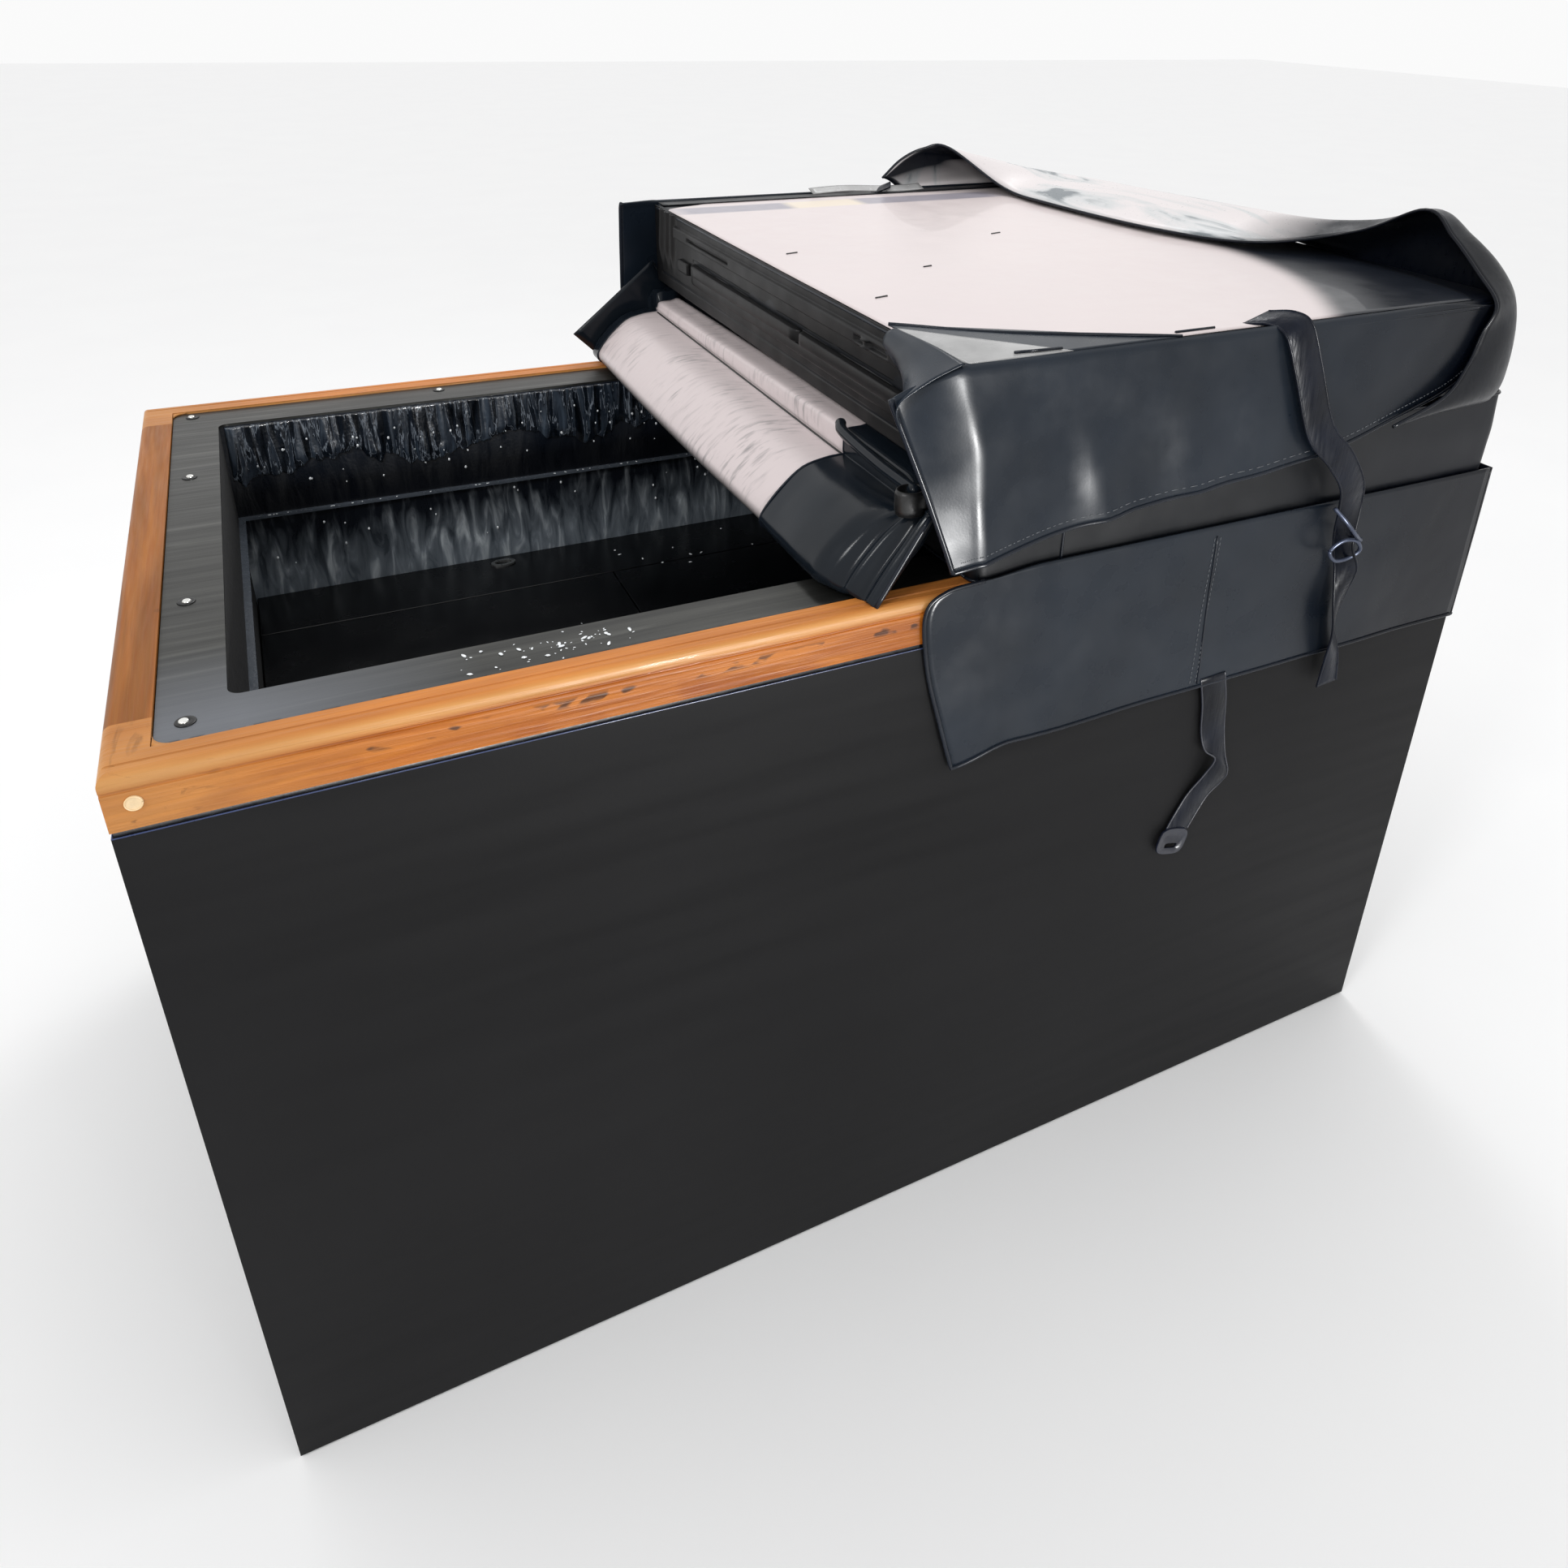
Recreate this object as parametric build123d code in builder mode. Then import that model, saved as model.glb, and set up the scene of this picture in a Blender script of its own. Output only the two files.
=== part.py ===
"""Chest freezer with a timber-trimmed rim and a two-part insulated vinyl cover.

The left half of the cover is folded over onto the right half, so the left of the tub is open.
Frame: millimetres, +X to the right along the length, -Y to the front, +Z up.
The origin is the centre of the base, on the floor.
"""

import os
from math import cos, radians, sin

from build123d import *

os.makedirs("parts", exist_ok=True)

# Cabinet
HALF_LENGTH = 715
HALF_DEPTH = 425
RIM_Z = 830
RAIL_BASE_Z = 783
PANEL_BASE_Z = 3
PANEL_TOP_Z = 778
SHEET = 2
FOOT_HEIGHT = 12
FOOT_RADIUS = 25
FOOT_SPACING = (640, 720)
PAN_FLANGE = 25
PAN_GAP = 2

# Timber rails and the metal deck between them
RAIL_FRONT_Y = -396
RAIL_BACK_Y = 392
RAIL_SIDE_X = 681
RAIL_ROUND = 8
RAIL_GROOVE = 1.4
RAIL_RETURN = 42
PLUG_RADIUS = 6
DECK_TOP_Z = 827
DECK_THICKNESS = 3
DECK_OUTER_ROUND = 17
DECK_INNER_ROUND = 11
SCREW_SPOTS = [(side * 660, y) for side in (-1, 1) for y in (-366, -158, 161, 375)]
SCREW_SPOTS += [(side * 359, 374) for side in (-1, 1)]

# Tub
TUB_X = 630
TUB_FRONT_Y = -339
TUB_BACK_Y = 334
TUB_MID_Y = (TUB_FRONT_Y + TUB_BACK_Y) / 2
LINER = 3
TUB_FLOOR_Z = 103
STEP_X = 250
STEP_Z = 380
LEDGE_Z = 700
LEDGE_REACH = 8
COIL_GAP = 16

# Removable floor inside the tub
FLOOR_TOP_Z = 583
FLOOR_THICKNESS = 8
FLOOR_SPLIT_X = -175
FLOOR_SPLIT_Y = 222
FLOOR_GAP = 2
BEARER_WIDTH = 25
BEARER_HEIGHT = 20

# Machine bay under the step, at the right end
BAY_X = 300
BAY_TOP_Z = 330
COMPRESSOR_X = 500
COMPRESSOR_Y = 60

# Controls on the right end, drain on the left end
KNOB_Y = 200
SWITCH_Y = 310
CONTROL_Z = 230
DRAIN_Y = -250
DRAIN_Z = 118
DRAIN_HOLE = 12.2

# Cover: lower half on the rim, upper half folded over on top of it
HINGE_X = -18
HINGE_Z = 941
LID_HALF_DEPTH = 424
LOWER_X = (4, 714)
LOWER_Z = (830.5, 940)
UPPER_X = (-26, 700)
UPPER_Z = (942, 1050.2)
VINYL = 1.5
FILM = 1
LID_ROUND = 9
SKIRT = 2
SKIRT_Y = 426.5
SKIRT_END_X = 716.5
FLAP_HINGE_Y = 432.5
FLAP_HINGE_Z = 1046
FLAP_TILT = 5
FLAP_SHEET = 2.2
BEAD_RADIUS = 1.6
CURL_HINGE_X = 706
CURL_RADIUS = 75
WEBBING = 34


def box_between(low, high, mode=Mode.ADD):
    """Add to the part being built a box between two opposite corners."""
    centre = tuple((a + b) / 2 for a, b in zip(low, high))
    size = tuple(b - a for a, b in zip(low, high))
    with Locations(centre):
        Box(*size, mode=mode)


def bar_y(x, z, radius, low, high, mode=Mode.ADD):
    """Add a round bar along Y between two depths."""
    with Locations(Location((x, (low + high) / 2, z), (90, 0, 0))):
        Cylinder(radius, high - low, mode=mode)


def bar_x(y, z, radius, low, high, mode=Mode.ADD):
    """Add a round bar along X between two places."""
    with Locations(Location(((low + high) / 2, y, z), (0, 90, 0))):
        Cylinder(radius, high - low, mode=mode)


def bar_z(x, y, radius, low, high, mode=Mode.ADD):
    """Add a round bar along Z between two heights."""
    with Locations((x, y, (low + high) / 2)):
        Cylinder(radius, high - low, mode=mode)


# ---------------------------------------------------------------- base and outer panels

PAN_X = HALF_LENGTH - SHEET - PAN_GAP
PAN_Y = HALF_DEPTH - SHEET - PAN_GAP
PAN_TOP_Z = FOOT_HEIGHT + SHEET

with BuildPart() as base_pan:
    box_between((-PAN_X, -PAN_Y, FOOT_HEIGHT), (PAN_X, PAN_Y, FOOT_HEIGHT + PAN_FLANGE))
    box_between(
        (SHEET - PAN_X, SHEET - PAN_Y, PAN_TOP_Z),
        (PAN_X - SHEET, PAN_Y - SHEET, FOOT_HEIGHT + PAN_FLANGE),
        mode=Mode.SUBTRACT,
    )

with BuildPart() as glide_feet:
    with GridLocations(*FOOT_SPACING, 3, 2):
        Cylinder(FOOT_RADIUS, FOOT_HEIGHT, align=(Align.CENTER, Align.CENTER, Align.MIN))
    chamfer(glide_feet.edges().group_by(Axis.Z)[0], 2)

with BuildPart() as front_panel:
    box_between(
        (-HALF_LENGTH, -HALF_DEPTH, PANEL_BASE_Z), (HALF_LENGTH, SHEET - HALF_DEPTH, PANEL_TOP_Z)
    )

INLET_X = 600
INLET_Z = 90
INLET_HALF = (15, 11)

with BuildPart() as back_panel:
    box_between(
        (-HALF_LENGTH, HALF_DEPTH - SHEET, PANEL_BASE_Z), (HALF_LENGTH, HALF_DEPTH, PANEL_TOP_Z)
    )
    box_between(
        (INLET_X - INLET_HALF[0], HALF_DEPTH - SHEET, INLET_Z - INLET_HALF[1]),
        (INLET_X + INLET_HALF[0], HALF_DEPTH, INLET_Z + INLET_HALF[1]),
        mode=Mode.SUBTRACT,
    )

with BuildPart() as left_panel:
    box_between(
        (-HALF_LENGTH, SHEET - HALF_DEPTH, PANEL_BASE_Z),
        (SHEET - HALF_LENGTH, HALF_DEPTH - SHEET, PANEL_TOP_Z),
    )
    bar_x(DRAIN_Y, DRAIN_Z, DRAIN_HOLE, -HALF_LENGTH, SHEET - HALF_LENGTH, mode=Mode.SUBTRACT)

GRILLE_LOW = (-260, 60)
GRILLE_HIGH = (60, 260)
KNOB_CUP_RADIUS = 34
SWITCH_HALF = (18, 14)

with BuildPart() as right_panel:
    inner_x = HALF_LENGTH - SHEET
    box_between(
        (inner_x, SHEET - HALF_DEPTH, PANEL_BASE_Z), (HALF_LENGTH, HALF_DEPTH - SHEET, PANEL_TOP_Z)
    )
    box_between((inner_x, *GRILLE_LOW), (HALF_LENGTH, *GRILLE_HIGH), mode=Mode.SUBTRACT)
    bar_x(KNOB_Y, CONTROL_Z, KNOB_CUP_RADIUS, inner_x, HALF_LENGTH, mode=Mode.SUBTRACT)
    box_between(
        (inner_x, SWITCH_Y - SWITCH_HALF[0], CONTROL_Z - SWITCH_HALF[1]),
        (HALF_LENGTH, SWITCH_Y + SWITCH_HALF[0], CONTROL_Z + SWITCH_HALF[1]),
        mode=Mode.SUBTRACT,
    )

# ---------------------------------------------------------------- timber rails

GROOVE_DROP = 14
PLUG_DEPTH = 6
PLUG_X = 695
PLUG_Z = 805
PLUG_GAP = 0.1


def long_rail(inner_y, outer_y):
    """A full-length rail that turns each corner: rounded outer edges, a groove each side of the long one."""
    outward = 1 if outer_y > inner_y else -1
    low, high = sorted((inner_y, outer_y))
    box_between((-HALF_LENGTH, low, RAIL_BASE_Z), (HALF_LENGTH, high, RIM_Z))
    low, high = sorted((inner_y, inner_y - outward * RAIL_RETURN))
    box_between((-HALF_LENGTH, low, RAIL_BASE_Z), (-RAIL_SIDE_X, high, RIM_Z))
    box_between((RAIL_SIDE_X, low, RAIL_BASE_Z), (HALF_LENGTH, high, RIM_Z))
    top = edges().group_by(Axis.Z)[-1]
    long_edge = top.filter_by(Axis.X).sort_by(Axis.Y)[-1 if outward > 0 else 0]
    ends = top.filter_by(Axis.Y).sort_by(Axis.X)
    fillet([long_edge, ends[0], ends[-1]], RAIL_ROUND)
    for y, z in ((outer_y, RIM_Z - GROOVE_DROP), (outer_y - outward * GROOVE_DROP, RIM_Z)):
        bar_x(y, z, RAIL_GROOVE, -HALF_LENGTH, HALF_LENGTH, mode=Mode.SUBTRACT)
    low, high = sorted((outer_y - outward * PLUG_DEPTH, outer_y))
    for side in (-1, 1):
        bar_y(side * PLUG_X, PLUG_Z, PLUG_RADIUS + PLUG_GAP, low, high, mode=Mode.SUBTRACT)


with BuildPart() as rail_front:
    long_rail(RAIL_FRONT_Y, -HALF_DEPTH)

with BuildPart() as rail_back:
    long_rail(RAIL_BACK_Y, HALF_DEPTH)


def short_rail(side):
    """A side rail between the returns of the two long rails, rounded on its outer top edge."""
    low, high = sorted((side * RAIL_SIDE_X, side * HALF_LENGTH))
    box_between((low, RAIL_FRONT_Y + RAIL_RETURN, RAIL_BASE_Z), (high, RAIL_BACK_Y - RAIL_RETURN, RIM_Z))
    along = Axis.X if side > 0 else -Axis.X
    top = edges().filter_by(Axis.Y).group_by(Axis.Z)[-1].sort_by(along)[-1]
    fillet(top, RAIL_ROUND)


with BuildPart() as rail_left:
    short_rail(-1)

with BuildPart() as rail_right:
    short_rail(1)

PLUG_PROUD = 0.8

with BuildPart() as rail_plugs:
    for x in (-PLUG_X, PLUG_X):
        bar_y(x, PLUG_Z, PLUG_RADIUS, -HALF_DEPTH - PLUG_PROUD, PLUG_DEPTH - HALF_DEPTH)
        bar_y(x, PLUG_Z, PLUG_RADIUS, HALF_DEPTH - PLUG_DEPTH, HALF_DEPTH + PLUG_PROUD)

# ---------------------------------------------------------------- deck plate and its screws

DECK_BASE_Z = DECK_TOP_Z - DECK_THICKNESS
DECK_GAP = 1
SHANK_RADIUS = 2.4
SHANK_LENGTH = 14
HEAD_RADIUS = 3.8
HEAD_HEIGHT = 2.4
HEAD_ROUND = 1.6

with BuildPart() as deck_plate:
    with BuildSketch(Plane.XY.offset(DECK_BASE_Z)):
        with Locations((0, (RAIL_FRONT_Y + RAIL_BACK_Y) / 2)):
            RectangleRounded(
                2 * (RAIL_SIDE_X - DECK_GAP), RAIL_BACK_Y - RAIL_FRONT_Y - 2 * DECK_GAP, DECK_OUTER_ROUND
            )
        with Locations((0, TUB_MID_Y)):
            RectangleRounded(
                2 * TUB_X, TUB_BACK_Y - TUB_FRONT_Y, DECK_INNER_ROUND, mode=Mode.SUBTRACT
            )
        with Locations(SCREW_SPOTS):
            Circle(SHANK_RADIUS + 0.2, mode=Mode.SUBTRACT)
    extrude(amount=DECK_THICKNESS)

with BuildPart() as deck_screws:
    with Locations([(x, y, DECK_TOP_Z) for x, y in SCREW_SPOTS]):
        Cylinder(HEAD_RADIUS, HEAD_HEIGHT, align=(Align.CENTER, Align.CENTER, Align.MIN))
        Cylinder(SHANK_RADIUS, SHANK_LENGTH, align=(Align.CENTER, Align.CENTER, Align.MAX))
    fillet(deck_screws.edges().group_by(Axis.Z)[-1], HEAD_ROUND)

# ---------------------------------------------------------------- tub liner


def end_wall(low_y, high_y):
    """A long wall of the tub, cut away under the step at the right."""
    with BuildSketch(Plane.XZ.offset(-high_y)) as section:
        with BuildLine():
            Polyline(
                (-TUB_X - LINER, TUB_FLOOR_Z),
                (STEP_X, TUB_FLOOR_Z),
                (STEP_X, STEP_Z - LINER),
                (TUB_X + LINER, STEP_Z - LINER),
                (TUB_X + LINER, DECK_BASE_Z),
                (-TUB_X - LINER, DECK_BASE_Z),
                close=True,
            )
        make_face()
    extrude(section.sketch, amount=high_y - low_y)


with BuildPart() as liner_back_wall:
    end_wall(TUB_BACK_Y, TUB_BACK_Y + LINER)

with BuildPart() as liner_front_wall:
    end_wall(TUB_FRONT_Y - LINER, TUB_FRONT_Y)

with BuildPart() as liner_left_wall:
    box_between((-TUB_X - LINER, TUB_FRONT_Y, TUB_FLOOR_Z), (-TUB_X, TUB_BACK_Y, DECK_BASE_Z))
    bar_x(DRAIN_Y, DRAIN_Z, DRAIN_HOLE, -TUB_X - LINER, -TUB_X, mode=Mode.SUBTRACT)

with BuildPart() as liner_right_wall:
    box_between((TUB_X, TUB_FRONT_Y, STEP_Z), (TUB_X + LINER, TUB_BACK_Y, DECK_BASE_Z))

with BuildPart() as liner_floor:
    box_between(
        (-TUB_X - LINER, TUB_FRONT_Y - LINER, TUB_FLOOR_Z - LINER),
        (STEP_X, TUB_BACK_Y + LINER, TUB_FLOOR_Z),
    )

with BuildPart() as liner_step:
    box_between(
        (STEP_X - LINER, TUB_FRONT_Y, STEP_Z - LINER), (TUB_X + LINER, TUB_BACK_Y, STEP_Z)
    )
    box_between((STEP_X - LINER, TUB_FRONT_Y, TUB_FLOOR_Z), (STEP_X, TUB_BACK_Y, STEP_Z - LINER))

with BuildPart() as liner_ledge:
    with BuildSketch(Plane.XY.offset(LEDGE_Z - LINER)):
        with Locations((0, TUB_MID_Y)):
            Rectangle(2 * TUB_X, TUB_BACK_Y - TUB_FRONT_Y)
            Rectangle(
                2 * (TUB_X - LEDGE_REACH),
                TUB_BACK_Y - TUB_FRONT_Y - 2 * LEDGE_REACH,
                mode=Mode.SUBTRACT,
            )
    extrude(amount=LINER)

# ---------------------------------------------------------------- removable floor

FLOOR_BASE_Z = FLOOR_TOP_Z - FLOOR_THICKNESS
BEARER_BASE_Z = FLOOR_BASE_Z - BEARER_HEIGHT
FLOOR_EDGE = 1
FINGER_HOLE = 12
FINGER_SPOTS = ((560, -120), (560, -60))
PULL_SPOT = (-310, 308)
PULL_HEIGHT = 2.5

with BuildPart() as floor_panel_back:
    box_between(
        (FLOOR_GAP - TUB_X, FLOOR_SPLIT_Y + FLOOR_GAP / 2, FLOOR_BASE_Z),
        (TUB_X - FLOOR_GAP, TUB_BACK_Y - FLOOR_GAP, FLOOR_TOP_Z),
    )
    fillet(floor_panel_back.edges().group_by(Axis.Z)[-1], FLOOR_EDGE)

with BuildPart() as floor_panel_left:
    box_between(
        (FLOOR_GAP - TUB_X, TUB_FRONT_Y + FLOOR_GAP, FLOOR_BASE_Z),
        (FLOOR_SPLIT_X - FLOOR_GAP / 2, FLOOR_SPLIT_Y - FLOOR_GAP / 2, FLOOR_TOP_Z),
    )
    fillet(floor_panel_left.edges().group_by(Axis.Z)[-1], FLOOR_EDGE)

with BuildPart() as floor_hatch:
    box_between(
        (FLOOR_SPLIT_X + FLOOR_GAP / 2, TUB_FRONT_Y + FLOOR_GAP, FLOOR_BASE_Z),
        (TUB_X - FLOOR_GAP, FLOOR_SPLIT_Y - FLOOR_GAP / 2, FLOOR_TOP_Z),
    )
    fillet(floor_hatch.edges().group_by(Axis.Z)[-1], FLOOR_EDGE)
    for x, y in FINGER_SPOTS:
        bar_z(x, y, FINGER_HOLE, FLOOR_BASE_Z, FLOOR_TOP_Z, mode=Mode.SUBTRACT)

with BuildPart() as floor_bearers:
    for x in (FLOOR_GAP - TUB_X, FLOOR_SPLIT_X - BEARER_WIDTH / 2, TUB_X - FLOOR_GAP - BEARER_WIDTH):
        box_between(
            (x, TUB_FRONT_Y + FLOOR_GAP, BEARER_BASE_Z),
            (x + BEARER_WIDTH, TUB_BACK_Y - FLOOR_GAP, FLOOR_BASE_Z),
        )

with BuildPart() as finger_pull:
    with BuildSketch(Plane.XY.offset(FLOOR_TOP_Z)):
        with Locations(PULL_SPOT):
            Ellipse(17, 10)
            Ellipse(12, 6, mode=Mode.SUBTRACT)
    extrude(amount=PULL_HEIGHT)

# ---------------------------------------------------------------- foam and refrigeration

FOAM_X = 705
FOAM_Y = 415
FOAM_ROUND = 20
FOAM_NECK = 2
BAY_FRONT_Y = -390
SHANK_CLEAR = 0.4

with BuildPart() as insulation_block:
    with BuildSketch(Plane.XY.offset(PAN_TOP_Z)):
        RectangleRounded(2 * FOAM_X, 2 * FOAM_Y, FOAM_ROUND)
    extrude(amount=RAIL_BASE_Z - PAN_TOP_Z)
    box_between(
        (FOAM_NECK - RAIL_SIDE_X, RAIL_FRONT_Y + FOAM_NECK, RAIL_BASE_Z),
        (RAIL_SIDE_X - FOAM_NECK, RAIL_BACK_Y - FOAM_NECK, DECK_BASE_Z),
    )
    pocket_x = TUB_X + LINER + COIL_GAP
    pocket_low_y = TUB_FRONT_Y - LINER - COIL_GAP
    pocket_high_y = TUB_BACK_Y + LINER + COIL_GAP
    box_between(
        (-pocket_x, pocket_low_y, TUB_FLOOR_Z - LINER),
        (STEP_X, pocket_high_y, DECK_BASE_Z),
        mode=Mode.SUBTRACT,
    )
    box_between(
        (STEP_X, pocket_low_y, STEP_Z - LINER),
        (pocket_x, pocket_high_y, DECK_BASE_Z),
        mode=Mode.SUBTRACT,
    )
    box_between((BAY_X, BAY_FRONT_Y, PAN_TOP_Z), (FOAM_X, FOAM_Y, BAY_TOP_Z), mode=Mode.SUBTRACT)
    bar_x(DRAIN_Y, DRAIN_Z, DRAIN_HOLE, -FOAM_X, -pocket_x, mode=Mode.SUBTRACT)
    with Locations([(x, y, DECK_BASE_Z) for x, y in SCREW_SPOTS]):
        Cylinder(
            SHANK_RADIUS + SHANK_CLEAR,
            SHANK_LENGTH,
            align=(Align.CENTER, Align.CENTER, Align.MAX),
            mode=Mode.SUBTRACT,
        )


def wound_tube(half_x, low_y, high_y, low_z, pitch, turns, bend, radius):
    """A tube wound round a rectangle, rising one pitch along the back of each turn."""
    corners = []
    for turn in range(turns):
        z = low_z + turn * pitch
        corners += [(-half_x, high_y, z), (-half_x, low_y, z), (half_x, low_y, z), (half_x, high_y, z)]
    with BuildLine() as route:
        FilletPolyline(*corners, radius=bend)
    with BuildSketch(Plane(origin=route.line @ 0, z_dir=route.line % 0)) as section:
        Circle(radius)
    sweep(section.sketch, path=route.line)


COIL_OFFSET = 9
CONDENSER_OFFSET = 4

with BuildPart() as evaporator_tube:
    wound_tube(
        TUB_X + LINER + COIL_OFFSET,
        TUB_FRONT_Y - LINER - COIL_OFFSET,
        TUB_BACK_Y + LINER + COIL_OFFSET,
        low_z=420,
        pitch=80,
        turns=5,
        bend=17,
        radius=4,
    )

with BuildPart() as condenser_tube:
    wound_tube(
        FOAM_X + CONDENSER_OFFSET,
        -FOAM_Y - CONDENSER_OFFSET,
        FOAM_Y + CONDENSER_OFFSET,
        low_z=420,
        pitch=110,
        turns=4,
        bend=24,
        radius=2.5,
    )

SHELL_BASE_Z = 34
SHELL_TOP_Z = 214
SHELL_RADIUS = 82
SHELL_CROWN = 36
SHELL_SEAM_REACH = 5
SHELL_SEAM_Z = (118, 126)
MOUNT_PLATE = (230, 170)
MOUNT_ROUND = 20
MOUNT_THICKNESS = 3
MOUNT_SPACING = (190, 130)
MOUNT_HOLE = 4.2
GROMMET_RADIUS = 13
STUD_RADIUS = 4
STUD_REACH = 8

with BuildPart() as compressor:
    with BuildSketch(Plane.XY.offset(SHELL_BASE_Z - MOUNT_THICKNESS)):
        with Locations((COMPRESSOR_X, COMPRESSOR_Y)):
            RectangleRounded(*MOUNT_PLATE, MOUNT_ROUND)
            with GridLocations(*MOUNT_SPACING, 2, 2):
                Circle(MOUNT_HOLE, mode=Mode.SUBTRACT)
    extrude(amount=MOUNT_THICKNESS)
    with Locations((COMPRESSOR_X, COMPRESSOR_Y, SHELL_BASE_Z)):
        Cylinder(
            SHELL_RADIUS, SHELL_TOP_Z - SHELL_BASE_Z, align=(Align.CENTER, Align.CENTER, Align.MIN)
        )
    fillet(compressor.edges().group_by(Axis.Z)[-1], SHELL_CROWN)
    bar_z(COMPRESSOR_X, COMPRESSOR_Y, SHELL_RADIUS + SHELL_SEAM_REACH, *SHELL_SEAM_Z)

with BuildPart() as compressor_grommets:
    with Locations((COMPRESSOR_X, COMPRESSOR_Y, PAN_TOP_Z)):
        with GridLocations(*MOUNT_SPACING, 2, 2):
            for radius, top_z in (
                (GROMMET_RADIUS, SHELL_BASE_Z - MOUNT_THICKNESS),
                (STUD_RADIUS, SHELL_BASE_Z + STUD_REACH),
            ):
                Cylinder(radius, top_z - PAN_TOP_Z, align=(Align.CENTER, Align.CENTER, Align.MIN))

RELAY_DEPTH = 34
RELAY_GAP = 0.5
RELAY_HALF_WIDTH = 30
RELAY_Z = (60, 116)
RELAY_ROUND = 5

with BuildPart() as start_relay_cover:
    relay_x = COMPRESSOR_X - SHELL_RADIUS - SHELL_SEAM_REACH
    box_between(
        (relay_x - RELAY_DEPTH, COMPRESSOR_Y - RELAY_HALF_WIDTH, RELAY_Z[0]),
        (relay_x - RELAY_GAP, COMPRESSOR_Y + RELAY_HALF_WIDTH, RELAY_Z[1]),
    )
    fillet(start_relay_cover.edges().filter_by(Axis.X), RELAY_ROUND)


def bent_pipe(points, bend, radius):
    """A round pipe along straight runs joined by bends."""
    with BuildLine() as route:
        FilletPolyline(*points, radius=bend)
    with BuildSketch(Plane(origin=route.line @ 0, z_dir=route.line % 0)) as section:
        Circle(radius)
    sweep(section.sketch, path=route.line)


SUCTION_X = COMPRESSOR_X - 24
SUCTION_Y = COMPRESSOR_Y + 190
SUCTION_Z = 272
DISCHARGE_X = COMPRESSOR_X + 24
DISCHARGE_END = (640, COMPRESSOR_Y - 120)
DISCHARGE_Z = 262

with BuildPart() as refrigerant_pipes:
    bent_pipe(
        [
            (SUCTION_X, COMPRESSOR_Y, SHELL_TOP_Z),
            (SUCTION_X, COMPRESSOR_Y, SUCTION_Z),
            (SUCTION_X, SUCTION_Y, SUCTION_Z),
            (SUCTION_X, SUCTION_Y, BAY_TOP_Z),
        ],
        bend=24,
        radius=4,
    )
    bent_pipe(
        [
            (DISCHARGE_X, COMPRESSOR_Y, SHELL_TOP_Z),
            (DISCHARGE_X, COMPRESSOR_Y, DISCHARGE_Z),
            (DISCHARGE_END[0], COMPRESSOR_Y, DISCHARGE_Z),
            (*DISCHARGE_END, DISCHARGE_Z),
            (*DISCHARGE_END, BAY_TOP_Z),
        ],
        bend=22,
        radius=3,
    )

DRIER_SPOT = (610, -200)
DRIER_RADIUS = 12
DRIER_Z = (190, 280)
DRIER_CHAMFER = 4
CAPILLARY_RADIUS = 2

with BuildPart() as filter_drier:
    bar_z(*DRIER_SPOT, DRIER_RADIUS, *DRIER_Z)
    chamfer(filter_drier.edges(), DRIER_CHAMFER)
    bar_z(*DRIER_SPOT, CAPILLARY_RADIUS, DRIER_Z[1], BAY_TOP_Z)

# ---------------------------------------------------------------- right end: grille and controls

GRILLE_PROUD = 1.5
GRILLE_GAP = 0.5
GRILLE_ROUND = 4
GRILLE_BORDER = 15
SLOT_PITCH = 14
SLOT_SPACING = 150
SLOT_SIZE = (136, 6)

with BuildPart() as vent_grille:
    low_y, low_z = (edge + GRILLE_GAP for edge in GRILLE_LOW)
    high_y, high_z = (edge - GRILLE_GAP for edge in GRILLE_HIGH)
    box_between((inner_x, low_y, low_z), (HALF_LENGTH + GRILLE_PROUD, high_y, high_z))
    fillet(vent_grille.edges().filter_by(Axis.X), GRILLE_ROUND)
    slots = int((high_z - low_z - 2 * GRILLE_BORDER) // SLOT_PITCH) + 1
    with BuildSketch(Plane.YZ.offset(inner_x)):
        with Locations(((low_y + high_y) / 2, (low_z + high_z) / 2)):
            with GridLocations(SLOT_SPACING, SLOT_PITCH, 2, slots):
                SlotOverall(*SLOT_SIZE)
    extrude(amount=SHEET + GRILLE_PROUD, mode=Mode.SUBTRACT)

CUP_DEPTH = 20
CUP_WALL = 3
KNOB_RADIUS = 25
KNOB_DISC = 8
KNOB_ROUND = 2
KNOB_LIFT = 1
GRIP_HALF = (5, 21)
SHAFT_RADIUS = 3
SHAFT_GAP = 0.05
FIT_GAP = 0.2

with BuildPart() as thermostat_housing:
    bar_x(KNOB_Y, CONTROL_Z, KNOB_CUP_RADIUS - FIT_GAP, HALF_LENGTH - CUP_DEPTH - CUP_WALL, HALF_LENGTH)
    bar_x(
        KNOB_Y,
        CONTROL_Z,
        KNOB_CUP_RADIUS - CUP_WALL,
        HALF_LENGTH - CUP_DEPTH,
        HALF_LENGTH,
        mode=Mode.SUBTRACT,
    )
    bar_x(
        KNOB_Y,
        CONTROL_Z,
        SHAFT_RADIUS + SHAFT_GAP,
        HALF_LENGTH - CUP_DEPTH - CUP_WALL,
        HALF_LENGTH - CUP_DEPTH,
        mode=Mode.SUBTRACT,
    )

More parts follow.
